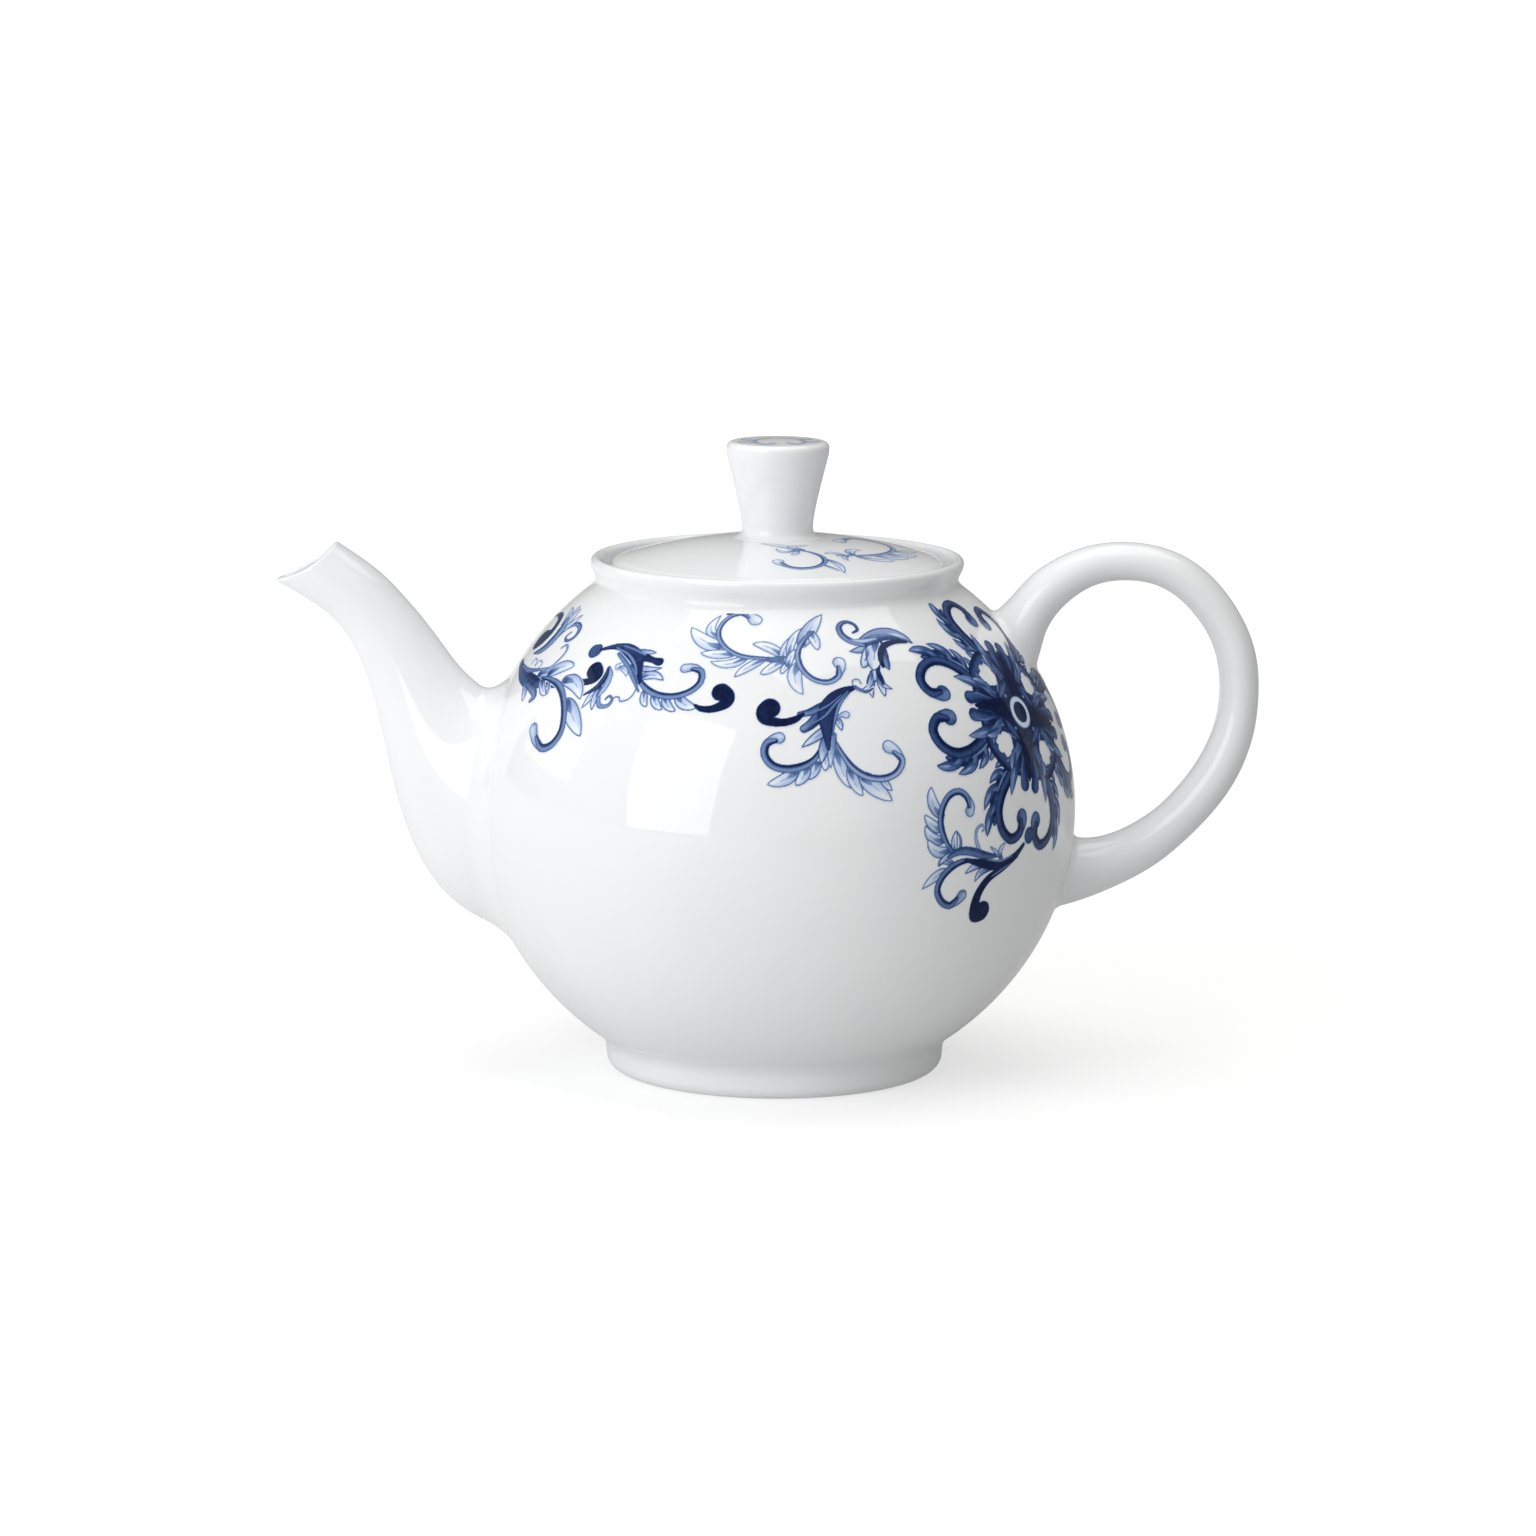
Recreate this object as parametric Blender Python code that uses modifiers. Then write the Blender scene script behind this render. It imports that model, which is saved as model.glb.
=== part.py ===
# A porcelain teapot of about 1.2 litres: a round pot with spout, handle, foot ring and neck collar, and a
# loose lid with its knob. Metres, +Z up. The pot stands on Z = 0 and its spout points to -X.

import math

import bmesh
import bpy
from mathutils import Matrix, Vector

MM = 0.001

# Pot body: an ellipsoid of revolution with an even wall
POT_AXIS_X = 2.0 * MM  # the pot's axis; spout and handle reach equally far from X = 0
BODY_RADIUS = 75.0 * MM
BODY_HALF_HEIGHT = 70.8 * MM
BODY_CENTRE_Z = 66.0 * MM
WALL = 3.6 * MM
FLOOR_Z = 9.5 * MM
BASE_Z = 5.0 * MM  # underside of the base inside the foot ring
SHOULDER_Z = 121.3 * MM  # where the neck collar sits on the body
GAP = 0.3 * MM  # left between pieces that touch

# Foot ring
FOOT_RADIUS = 42.5 * MM
FOOT_HEIGHT = 8.0 * MM
FOOT_WIDTH = 7.3 * MM
FOOT_ROUND = 3.3 * MM
FOOT_TAPER = 0.2 * MM
FOOT_INNER_ROUND = 1.3 * MM

# Neck collar, with its rolled lip, and the seat for the lid inside it
LIP_RING_RADIUS = 44.65 * MM
LIP_ROUND = 1.35 * MM
RIM_Z = 129.3 * MM
COLLAR_WAIST_RADIUS = 45.2 * MM
COLLAR_WAIST_Z = 123.8 * MM
COLLAR_FOOT_RADIUS = 46.5 * MM
SEAT_INNER_RADIUS = 38.0 * MM
SEAT_TOP_Z = 124.2 * MM

# Lid
LID_RADIUS = 41.2 * MM
LID_EDGE_Z = 128.3 * MM
LID_RISE = 6.3 * MM
LID_THICKNESS = 3.6 * MM
LID_EDGE_ROUND = 1.2 * MM
LID_VENT_RADIUS = 1.6 * MM
LID_VENT_FROM_AXIS = 20.0 * MM
FLANGE_RADIUS = 37.2 * MM
FLANGE_WIDTH = 3.2 * MM
FLANGE_BOTTOM_Z = 114.5 * MM
TONGUE_SIZE = (9.0 * MM, 2.5 * MM, 3.6 * MM)
TONGUE_CENTRE_Z = 117.0 * MM
NOTCH_WIDTH = 11.0 * MM
NOTCH_RADIUS = 40.8 * MM

# Knob
KNOB_FOOT_RADIUS = 9.7 * MM
KNOB_NECK_RADIUS = 8.85 * MM
KNOB_NECK_Z = 137.0 * MM
KNOB_TOP_RADIUS = 12.8 * MM
KNOB_TOP_Z = 158.3 * MM
KNOB_BORE_RADIUS = 5.0 * MM
KNOB_WALL = 4.0 * MM
KNOB_EDGE_ROUND = 1.6 * MM

# Spout: cross-sections from the root to the mouth, as (back x, back z, front x, front z, half width) in
# millimetres from the pot's axis. The back is the upper side and the front is the side away from the pot.
SPOUT_SECTIONS = (
    (-57.0, 97.0, -57.0, 33.0, 22.5),
    (-66.5, 95.0, -67.5, 34.6, 21.8),
    (-72.4, 95.1, -77.6, 39.0, 19.8),
    (-75.4, 97.2, -86.1, 47.1, 17.2),
    (-78.0, 99.6, -92.3, 59.3, 14.8),
    (-80.6, 102.6, -96.3, 73.6, 12.6),
    (-84.0, 107.4, -99.2, 88.0, 10.7),
    (-88.4, 113.3, -102.3, 99.5, 9.4),
    (-93.6, 119.3, -106.4, 108.0, 8.6),
    (-99.5, 125.4, -112.4, 115.2, 8.1),
    (-109.1, 132.0, -124.6, 122.3, 7.7),
)
SPOUT_STEPS = 2  # loft rings for each pair of sections
SPOUT_SIDES = 24
SPOUT_ROOT_WALL = 3.4 * MM
SPOUT_MOUTH_WALL = 1.5 * MM
SPOUT_SADDLE = 1.3 * MM  # how far the mouth dips at its two sides
SPOUT_BEAK = 0.3  # how much narrower the mouth is at its front end

# Port in the body's wall behind the spout, filled by the pierced strainer
PORT_HALF_WIDTH = 15.0 * MM
PORT_HALF_HEIGHT = 20.0 * MM
PORT_CENTRE_Z = 66.0 * MM
PORT_CUT_LENGTH = 50.0 * MM
STRAINER_HOLE_RADIUS = 2.0 * MM
STRAINER_ROWS = ((-12.4, 3), (-6.2, 4), (0.0, 3), (6.2, 4), (12.4, 3))  # millimetres up, holes
STRAINER_PITCH = 6.6 * MM

# Handle: points of its centre line, as (x, z, thickness) in millimetres from the pot's axis
HANDLE_LINE = (
    (50.0, 104.0, 15.0),
    (56.0, 108.6, 14.2),
    (61.6, 113.4, 12.4),
    (67.6, 120.6, 11.0),
    (76.0, 126.4, 9.9),
    (87.0, 128.6, 9.5),
    (97.4, 126.4, 9.5),
    (106.0, 120.4, 9.5),
    (112.4, 111.0, 9.7),
    (115.8, 96.4, 9.8),
    (113.7, 83.4, 10.1),
    (108.2, 72.6, 10.5),
    (98.6, 61.8, 10.9),
    (86.4, 53.6, 12.2),
    (76.0, 50.0, 14.6),
    (66.0, 48.4, 17.0),
)
HANDLE_STEPS = 2
HANDLE_FLATNESS = 1.25  # width across the strap over its thickness

TURN_STEPS = 48
PORCELAIN = (0.86, 0.88, 0.90, 1.0)
BISQUE = (0.80, 0.79, 0.76, 1.0)  # unglazed standing face
GLAZE_ROUGHNESS = 0.08


def clear_scene():
    for old in list(bpy.data.objects):
        bpy.data.objects.remove(old)


def new_collection(name):
    collection = bpy.data.collections.new(name)
    bpy.context.scene.collection.children.link(collection)
    return collection


def new_empty(name, x, z):
    empty = bpy.data.objects.new(name, None)
    empty.location = (x, 0.0, z)
    PARTS.objects.link(empty)
    return empty


def porcelain(name, colour=PORCELAIN, roughness=GLAZE_ROUGHNESS):
    material = bpy.data.materials.new(name + "_glaze")
    material.use_nodes = True
    shader = material.node_tree.nodes["Principled BSDF"]
    shader.inputs["Base Color"].default_value = colour
    shader.inputs["Roughness"].default_value = roughness
    shader.inputs["Metallic"].default_value = 0.0
    return material


def add_part(name, mesh, parent, **finish):
    """Links the mesh as a piece whose points are given from the pot's axis and the table."""
    part = bpy.data.objects.new(name, mesh)
    part.data.materials.append(porcelain(name, **finish))
    PARTS.objects.link(part)
    part.parent = parent
    part.location = (0.0, 0.0, -parent.location.z)
    return part


def add_cutter(name, mesh):
    cutter = bpy.data.objects.new(name, mesh)
    cutter.location = (POT_AXIS_X, 0.0, 0.0)
    cutter.hide_render = True
    cutter.display_type = "WIRE"
    CUTTERS.objects.link(cutter)
    return cutter


def cut(part, cutter, operation="DIFFERENCE"):
    modifier = part.modifiers.new(cutter.name, "BOOLEAN")
    modifier.object = cutter
    modifier.operation = operation
    modifier.solver = "EXACT"


def arc(centre_r, centre_z, radius, start, end, count):
    """Points on a round of the profile, with angles in degrees from +r towards +z."""
    angles = [math.radians(start + (end - start) * i / count) for i in range(count + 1)]
    return [(centre_r + radius * math.cos(a), centre_z + radius * math.sin(a)) for a in angles]


def turned_mesh(name, profile, closed):
    """The profile's line at +X. It runs down its outer side, so that the turned faces point out."""
    edges = [(i, i + 1) for i in range(len(profile) - 1)]
    if closed:
        edges.append((len(profile) - 1, 0))
    mesh = bpy.data.meshes.new(name)
    mesh.from_pydata([(r, 0.0, z) for r, z in profile], edges, [])
    return mesh


def turn(part):
    screw = part.modifiers.new("turn", "SCREW")
    screw.axis = "Z"
    screw.angle = math.tau
    screw.steps = TURN_STEPS
    screw.render_steps = TURN_STEPS
    screw.use_merge_vertices = True
    screw.merge_threshold = 0.00005
    screw.use_smooth_shade = True
    return part


def turned_part(name, profile, parent, closed=True, **finish):
    return turn(add_part(name, turned_mesh(name, profile, closed), parent, **finish))


def ellipsoid_arc(z_from, z_to, inset, count):
    """Profile points on the ellipsoid, spaced evenly by angle."""
    half = BODY_HALF_HEIGHT - inset
    first = math.asin((z_from - BODY_CENTRE_Z) / half)
    last = math.asin((z_to - BODY_CENTRE_Z) / half)
    angles = [first + (last - first) * i / count for i in range(count + 1)]
    return [((BODY_RADIUS - inset) * math.cos(a), BODY_CENTRE_Z + half * math.sin(a)) for a in angles]


def shell_profile():
    boss_radius = FOOT_RADIUS - FOOT_WIDTH - GAP
    inner = ellipsoid_arc(FLOOR_Z, SHOULDER_Z, WALL, 12)
    outer = ellipsoid_arc(SHOULDER_Z, FOOT_HEIGHT, 0.0, 14)
    boss = [(boss_radius, FOOT_HEIGHT), (boss_radius, BASE_Z), (0.0, BASE_Z)]
    return [(0.0, FLOOR_Z)] + inner + outer + boss


def add_cylinder_along_x(shape, half_y, half_z, centre_y, centre_z, sides):
    """Adds a cylinder with an oval section that runs through the body's wall on the spout's side."""
    turned = Matrix.Translation((-BODY_RADIUS, centre_y, centre_z)) @ Matrix.Rotation(math.pi / 2, 4, "Y")
    bmesh.ops.create_cone(
        shape,
        cap_ends=True,
        segments=sides,
        radius1=1.0,
        radius2=1.0,
        depth=PORT_CUT_LENGTH,
        matrix=turned @ Matrix.Diagonal((half_z, half_y, 1.0, 1.0)),
    )


def mesh_of(name, shape):
    mesh = bpy.data.meshes.new(name)
    shape.to_mesh(mesh)
    shape.free()
    return mesh


def port_outline(name, inset):
    shape = bmesh.new()
    add_cylinder_along_x(shape, PORT_HALF_WIDTH - inset, PORT_HALF_HEIGHT - inset, 0.0, PORT_CENTRE_Z, 32)
    return add_cutter(name, mesh_of(name, shape))


def box_mesh(name, size, centre):
    shape = bmesh.new()
    bmesh.ops.create_cube(shape, size=1.0)
    bmesh.ops.scale(shape, vec=size, verts=shape.verts)
    bmesh.ops.translate(shape, vec=centre, verts=shape.verts)
    return mesh_of(name, shape)


def make_body():
    body = turned_part("body_shell", shell_profile(), POT, closed=False)
    cut(body, port_outline("spout_port_cutter", 0.0))


def make_strainer():
    """The pierced part of the wall. It is the same shell, kept only inside the port."""
    strainer = turned_part("spout_strainer", shell_profile(), POT, closed=False)
    cut(strainer, port_outline("strainer_outline", GAP), "INTERSECT")
    holes = bmesh.new()
    for up, count in STRAINER_ROWS:
        for i in range(count):
            across = (i - (count - 1) / 2) * STRAINER_PITCH
            radius = STRAINER_HOLE_RADIUS
            add_cylinder_along_x(holes, radius, radius, across, PORT_CENTRE_Z + up * MM, 10)
    cut(strainer, add_cutter("strainer_holes", mesh_of("strainer_holes", holes)))


def make_foot():
    inner = FOOT_RADIUS - FOOT_WIDTH
    round_r = FOOT_RADIUS - FOOT_TAPER - FOOT_ROUND
    inner_round_r = inner + FOOT_INNER_ROUND
    profile = [(inner, FOOT_HEIGHT - GAP), (FOOT_RADIUS, FOOT_HEIGHT - GAP)]
    profile += arc(round_r, FOOT_ROUND, FOOT_ROUND, 0, -90, 4)
    profile += arc(inner_round_r, FOOT_INNER_ROUND, FOOT_INNER_ROUND, -90, -180, 2)
    turned_part("foot_ring", profile, POT, colour=BISQUE)


def make_collar():
    lip_z = RIM_Z - LIP_ROUND
    bottom = SHOULDER_Z + GAP
    inner = LIP_RING_RADIUS - LIP_ROUND
    profile = arc(LIP_RING_RADIUS, lip_z, LIP_ROUND, 180, 0, 6)
    profile += [
        (COLLAR_WAIST_RADIUS + 0.35 * MM, COLLAR_WAIST_Z + 2.2 * MM),
        (COLLAR_WAIST_RADIUS, COLLAR_WAIST_Z),
        (COLLAR_WAIST_RADIUS + 0.4 * MM, COLLAR_WAIST_Z - 1.2 * MM),
        (COLLAR_FOOT_RADIUS, bottom),
        (inner, bottom),
    ]
    turned_part("neck_collar", profile, POT)


def make_seat():
    outer = LIP_RING_RADIUS - LIP_ROUND - GAP
    bottom = SHOULDER_Z + GAP
    profile = [
        (SEAT_INNER_RADIUS + 0.5 * MM, SEAT_TOP_Z),
        (outer, SEAT_TOP_Z),
        (outer, bottom),
        (SEAT_INNER_RADIUS + 0.5 * MM, bottom),
        (SEAT_INNER_RADIUS, bottom + 0.5 * MM),
        (SEAT_INNER_RADIUS, SEAT_TOP_Z - 0.5 * MM),
    ]
    seat = turned_part("lid_seat", profile, POT)
    notch = box_mesh(
        "seat_notch_cutter",
        (NOTCH_WIDTH, 2 * (NOTCH_RADIUS - SEAT_INNER_RADIUS), 10 * MM),
        (0.0, SEAT_INNER_RADIUS, SEAT_TOP_Z),
    )
    cut(seat, add_cutter("seat_notch_cutter", notch))


def smooth_line(points, steps):
    """Points on a Catmull-Rom curve through these ones, with their other numbers carried along."""
    found = []
    for i in range(len(points) - 1):
        before = points[max(i - 1, 0)]
        start, end = points[i], points[i + 1]
        after = points[min(i + 2, len(points) - 1)]
        for k in range(steps):
            t = k / steps
            found.append(tuple(
                0.5 * (2 * b + (c - a) * t + (2 * a - 5 * b + 4 * c - d) * t**2 + (3 * b - a - 3 * c + d) * t**3)
                for a, b, c, d in zip(before, start, end, after)
            ))
    found.append(points[-1])
    return found


def spout_ring(section, inset, mouth_share):
    """One ring of the spout. mouth_share is 0 along the tube and 1 at the mouth."""
    back_x, back_z, front_x, front_z, half_width = (value * MM for value in section)
    back, front = Vector((back_x, 0.0, back_z)), Vector((front_x, 0.0, front_z))
    middle, reach = (back + front) / 2, (back - front) / 2
    across = reach.normalized() * (reach.length - inset)
    forward = Vector((-across.z, 0.0, across.x)).normalized()
    ring = []
    for i in range(SPOUT_SIDES):
        angle = math.tau * i / SPOUT_SIDES
        narrowing = 1.0 - SPOUT_BEAK * mouth_share * (1.0 - math.cos(angle)) / 2
        side = Vector((0.0, (half_width - inset) * narrowing * math.sin(angle), 0.0))
        dip = forward * (-SPOUT_SADDLE * mouth_share * math.sin(angle) ** 2)
        ring.append(middle + across * math.cos(angle) + side + dip)
    return ring


def make_spout():
    sections = smooth_line(SPOUT_SECTIONS, SPOUT_STEPS)
    last = len(sections) - 1
    outer, inner = [], []
    for i, section in enumerate(sections):
        share = i / last
        wall = SPOUT_ROOT_WALL + (SPOUT_MOUTH_WALL - SPOUT_ROOT_WALL) * share
        mouth_share = max(0.0, 1.0 - (last - i) / SPOUT_STEPS)
        outer.append(spout_ring(section, 0.0, mouth_share))
        inner.append(spout_ring(section, wall, mouth_share))
    rings = outer + inner[::-1]
    shape = bmesh.new()
    verts = [[shape.verts.new(point) for point in ring] for ring in rings]
    for i, ring in enumerate(verts):
        following = verts[(i + 1) % len(verts)]
        for k in range(SPOUT_SIDES):
            j = (k + 1) % SPOUT_SIDES
            shape.faces.new((ring[k], ring[j], following[j], following[k]))
    bmesh.ops.recalc_face_normals(shape, faces=shape.faces)
    mesh = mesh_of("spout", shape)
    mesh.shade_smooth()
    cut(add_part("spout", mesh, POT), BODY_CLEARANCE)


def make_handle():
    """A curve with a round bevel, widened across its plane, then trimmed to the body."""
    curve = bpy.data.curves.new("handle_line", "CURVE")
    curve.dimensions = "3D"
    curve.bevel_depth = 1.0 * MM
    curve.bevel_resolution = 3
    curve.use_fill_caps = True
    points = smooth_line(HANDLE_LINE, HANDLE_STEPS)
    spline = curve.splines.new("POLY")
    spline.points.add(len(points) - 1)
    for point, (x, z, thickness) in zip(spline.points, points):
        point.co = (x * MM, 0.0, z * MM, 1.0)
        point.radius = thickness / 2
    guide = bpy.data.objects.new("handle_line", curve)
    guide.scale = (1.0, HANDLE_FLATNESS, 1.0)
    PARTS.objects.link(guide)
    bpy.context.view_layer.update()
    graph = bpy.context.evaluated_depsgraph_get()
    mesh = bpy.data.meshes.new_from_object(guide.evaluated_get(graph))
    mesh.name = "handle"
    mesh.transform(guide.matrix_world)
    bpy.data.objects.remove(guide)
    shape = bmesh.new()
    shape.from_mesh(mesh)
    bmesh.ops.remove_doubles(shape, verts=shape.verts, dist=0.00001)
    bmesh.ops.recalc_face_normals(shape, faces=shape.faces)
    shape.to_mesh(mesh)
    shape.free()
    mesh.materials.clear()
    mesh.shade_smooth()
    cut(add_part("handle", mesh, POT), BODY_CLEARANCE)


def lid_height(radius):
    """Height of the lid's gently domed top."""
    return LID_EDGE_Z + LID_RISE * (1.0 - (radius / LID_RADIUS) ** 2)


def make_lid_plate():
    underside_z = SEAT_TOP_Z + GAP
    flat_from = FLANGE_RADIUS - FLANGE_WIDTH - 1.0 * MM
    round_r = LID_RADIUS - LID_EDGE_ROUND
    radii = [KNOB_BORE_RADIUS + (round_r - KNOB_BORE_RADIUS) * i / 6 for i in range(7)]
    profile = [(radius, lid_height(radius)) for radius in radii]
    profile += arc(round_r, LID_EDGE_Z - LID_EDGE_ROUND, LID_EDGE_ROUND, 60, 0, 2)
    profile += [(LID_RADIUS, underside_z + 0.8 * MM), (LID_RADIUS - 0.8 * MM, underside_z)]
    profile += [(flat_from, underside_z)]
    under = [flat_from - 3.0 * MM - (flat_from - 3.0 * MM - KNOB_BORE_RADIUS) * i / 4 for i in range(5)]
    profile += [(radius, lid_height(radius) - LID_THICKNESS) for radius in under]
    plate = turned_part("lid_plate", profile, LID)
    vent = bmesh.new()
    bmesh.ops.create_cone(
        vent, cap_ends=True, segments=12, radius1=LID_VENT_RADIUS, radius2=LID_VENT_RADIUS, depth=0.02
    )
    bmesh.ops.translate(vent, vec=(0.0, LID_VENT_FROM_AXIS, LID_EDGE_Z), verts=vent.verts)
    cut(plate, add_cutter("lid_vent_cutter", mesh_of("lid_vent_cutter", vent)))


def make_flange():
    inner = FLANGE_RADIUS - FLANGE_WIDTH
    chamfer = 0.7 * MM
    profile = [
        (inner, SEAT_TOP_Z),
        (FLANGE_RADIUS, SEAT_TOP_Z),
        (FLANGE_RADIUS, FLANGE_BOTTOM_Z + chamfer),
        (FLANGE_RADIUS - chamfer, FLANGE_BOTTOM_Z),
        (inner + chamfer, FLANGE_BOTTOM_Z),
        (inner, FLANGE_BOTTOM_Z + chamfer),
    ]
    turned_part("lid_flange", profile, LID)


def make_tongue():
    """The small lug under the seat's back edge. It stands in line with the seat's notch."""
    centre_y = FLANGE_RADIUS + GAP + TONGUE_SIZE[1] / 2
    tongue = add_part("lid_tongue", box_mesh("lid_tongue", TONGUE_SIZE, (0.0, centre_y, TONGUE_CENTRE_Z)), LID)
    bevel = tongue.modifiers.new("worn_edges", "BEVEL")
    bevel.width = 0.6 * MM
    bevel.segments = 2


def make_knob():
    base_z = lid_height(KNOB_BORE_RADIUS) + GAP
    slope = (KNOB_TOP_RADIUS - KNOB_NECK_RADIUS) / (KNOB_TOP_Z - KNOB_NECK_Z)
    bore_top_z = KNOB_TOP_Z - KNOB_WALL
    bore_wide = KNOB_NECK_RADIUS + slope * (bore_top_z - KNOB_NECK_Z) - KNOB_WALL
    profile = [(0.0, bore_top_z), (bore_wide, bore_top_z - 1.0 * MM)]
    profile += [(KNOB_BORE_RADIUS, KNOB_NECK_Z), (KNOB_BORE_RADIUS, base_z)]
    round_r, round_z = KNOB_TOP_RADIUS - KNOB_EDGE_ROUND, KNOB_TOP_Z - 0.2 * MM - KNOB_EDGE_ROUND
    outer = [(0.0, KNOB_TOP_Z)] + arc(round_r, round_z, KNOB_EDGE_ROUND, 90, 0, 3)
    outer += [
        (KNOB_NECK_RADIUS, KNOB_NECK_Z),
        (KNOB_NECK_RADIUS + 0.1 * MM, base_z + 1.2 * MM),
        (KNOB_FOOT_RADIUS, base_z),
    ]
    turned_part("lid_knob", outer + profile[::-1], LID, closed=False)


def make_body_clearance():
    """The body's outer face grown by the gap. Spout and handle are trimmed with it."""
    grown = 1.3 * GAP
    points = ellipsoid_arc(SHOULDER_Z, FOOT_HEIGHT, 0.0, 14)
    profile = [(0.0, SHOULDER_Z)] + [(r + grown, z) for r, z in points] + [(0.0, FOOT_HEIGHT)]
    return turn(add_cutter("body_clearance", turned_mesh("body_clearance", profile, False)))


clear_scene()
PARTS = new_collection("porcelain_teapot")
CUTTERS = new_collection("cutters")
POT = new_empty("pot_axis", POT_AXIS_X, 0.0)
LID = new_empty("lid_lift_axis", POT_AXIS_X, SEAT_TOP_Z)
BODY_CLEARANCE = make_body_clearance()
make_body()
make_strainer()
make_foot()
make_collar()
make_seat()
make_spout()
make_handle()
make_lid_plate()
make_flange()
make_tongue()
make_knob()
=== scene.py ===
import math

import bpy
import numpy as np
from mathutils import Matrix, Vector


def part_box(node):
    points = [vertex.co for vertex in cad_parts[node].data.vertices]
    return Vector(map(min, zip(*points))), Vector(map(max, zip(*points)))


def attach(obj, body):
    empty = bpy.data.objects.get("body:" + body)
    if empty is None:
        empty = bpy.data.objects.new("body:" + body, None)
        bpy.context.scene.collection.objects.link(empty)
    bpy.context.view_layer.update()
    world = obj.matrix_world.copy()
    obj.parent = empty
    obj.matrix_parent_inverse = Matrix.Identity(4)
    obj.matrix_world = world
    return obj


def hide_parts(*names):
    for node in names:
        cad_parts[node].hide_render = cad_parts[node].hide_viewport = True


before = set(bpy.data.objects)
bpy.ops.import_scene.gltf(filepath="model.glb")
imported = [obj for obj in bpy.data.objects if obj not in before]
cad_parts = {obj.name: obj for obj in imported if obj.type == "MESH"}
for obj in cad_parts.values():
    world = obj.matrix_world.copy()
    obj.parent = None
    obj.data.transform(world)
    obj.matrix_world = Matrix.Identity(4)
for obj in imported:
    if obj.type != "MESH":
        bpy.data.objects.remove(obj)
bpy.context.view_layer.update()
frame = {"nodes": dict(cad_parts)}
print("frame loaded:", ", ".join(frame["nodes"]))

mm = 0.001


def nodeBox(node):  # lowest and highest corner of a frame node, in millimetres
    low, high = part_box(node)
    return [value / mm for value in low], [value / mm for value in high]


footLow, footHigh = nodeBox("foot_ring")
collarLow, collarHigh = nodeBox("neck_collar")
bodyLow, _ = nodeBox("body_shell")
seatLow, seatHigh = nodeBox("lid_seat")
lidLow, lidHigh = nodeBox("lid_plate")
flangeLow, flangeHigh = nodeBox("lid_flange")
tongueLow, tongueHigh = nodeBox("lid_tongue")
_, knobHigh = nodeBox("lid_knob")
axisX = (footLow[0] + footHigh[0]) / 2


# Shared shaping tools.

def arcPoints(r, z, radius, start, end, count):  # points of a round edge, in degrees from level
    turns = [math.radians(start + (end - start) * i / count) for i in range(count + 1)]
    return [(r + radius * math.cos(a), z + radius * math.sin(a)) for a in turns]


def easePoints(a, b, c, d, count):  # a soft curve from a to d that leaves towards b and arrives from c
    found = []
    for i in range(count + 1):
        t = i / count
        k = ((1 - t) ** 3, 3 * t * (1 - t) ** 2, 3 * t * t * (1 - t), t**3)
        found.append(tuple(k[0] * p + k[1] * q + k[2] * m + k[3] * n for p, q, m, n in zip(a, b, c, d)))
    return found


def runPoints(a, b, step):  # evenly spaced points of a straight run, without its last one
    count = max(1, round(math.dist(a, b) / step))
    return [tuple(p + (q - p) * i / count for p, q in zip(a, b)) for i in range(count)]


def deselectAll():
    if bpy.context.object and bpy.context.object.mode != "OBJECT":
        bpy.ops.object.mode_set(mode="OBJECT")
    bpy.ops.object.select_all(action="DESELECT")


def closeSurface(smoothUpTo=40):  # merges the seams of the piece in hand, turns its faces out, smooths it
    bpy.ops.object.mode_set(mode="EDIT")
    bpy.ops.mesh.select_all(action="SELECT")
    bpy.ops.mesh.remove_doubles(threshold=0.002 * mm)
    bpy.ops.mesh.delete_loose(use_verts=True, use_edges=True, use_faces=False)
    bpy.ops.mesh.select_all(action="SELECT")
    bpy.ops.mesh.normals_make_consistent(inside=False)
    bpy.ops.object.mode_set(mode="OBJECT")
    bpy.ops.object.shade_smooth_by_angle(angle=math.radians(smoothUpTo))


def turnOnWheel(name, outline, steps=288):  # a closed outline spun round the pot's axis
    deselectAll()
    bpy.ops.mesh.primitive_circle_add(vertices=len(outline), radius=mm)
    piece = bpy.context.object
    piece.name = piece.data.name = name
    points = np.array([(axisX + r, 0.0, z) for r, z in outline]) * mm
    piece.data.vertices.foreach_set("co", points.ravel())
    bpy.ops.object.mode_set(mode="EDIT")
    bpy.ops.mesh.select_all(action="SELECT")
    bpy.ops.mesh.spin(steps=steps, angle=math.tau, center=(axisX * mm, 0, 0), axis=(0, 0, 1))
    closeSurface()
    return piece


def pointsOf(piece):
    flat = np.empty(len(piece.data.vertices) * 3)
    piece.data.vertices.foreach_get("co", flat)
    return flat.reshape(-1, 3)


def placePoints(piece, points):  # moves the piece's points, given from the pot's axis
    piece.data.vertices.foreach_set("co", ((points + (axisX, 0, 0)) * mm).ravel())


def makeGrid(name, columns, rows):  # a grid of this many cells, with the column and row of each point
    deselectAll()
    bpy.ops.mesh.primitive_grid_add(x_subdivisions=columns, y_subdivisions=rows, size=1, location=(0, 0, 0))
    piece = bpy.context.object
    piece.name = piece.data.name = name
    flat = pointsOf(piece)
    column = np.rint((flat[:, 0] + 0.5) * columns).astype(int)
    row = np.rint((flat[:, 1] + 0.5) * rows).astype(int)
    return piece, column, row


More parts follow.
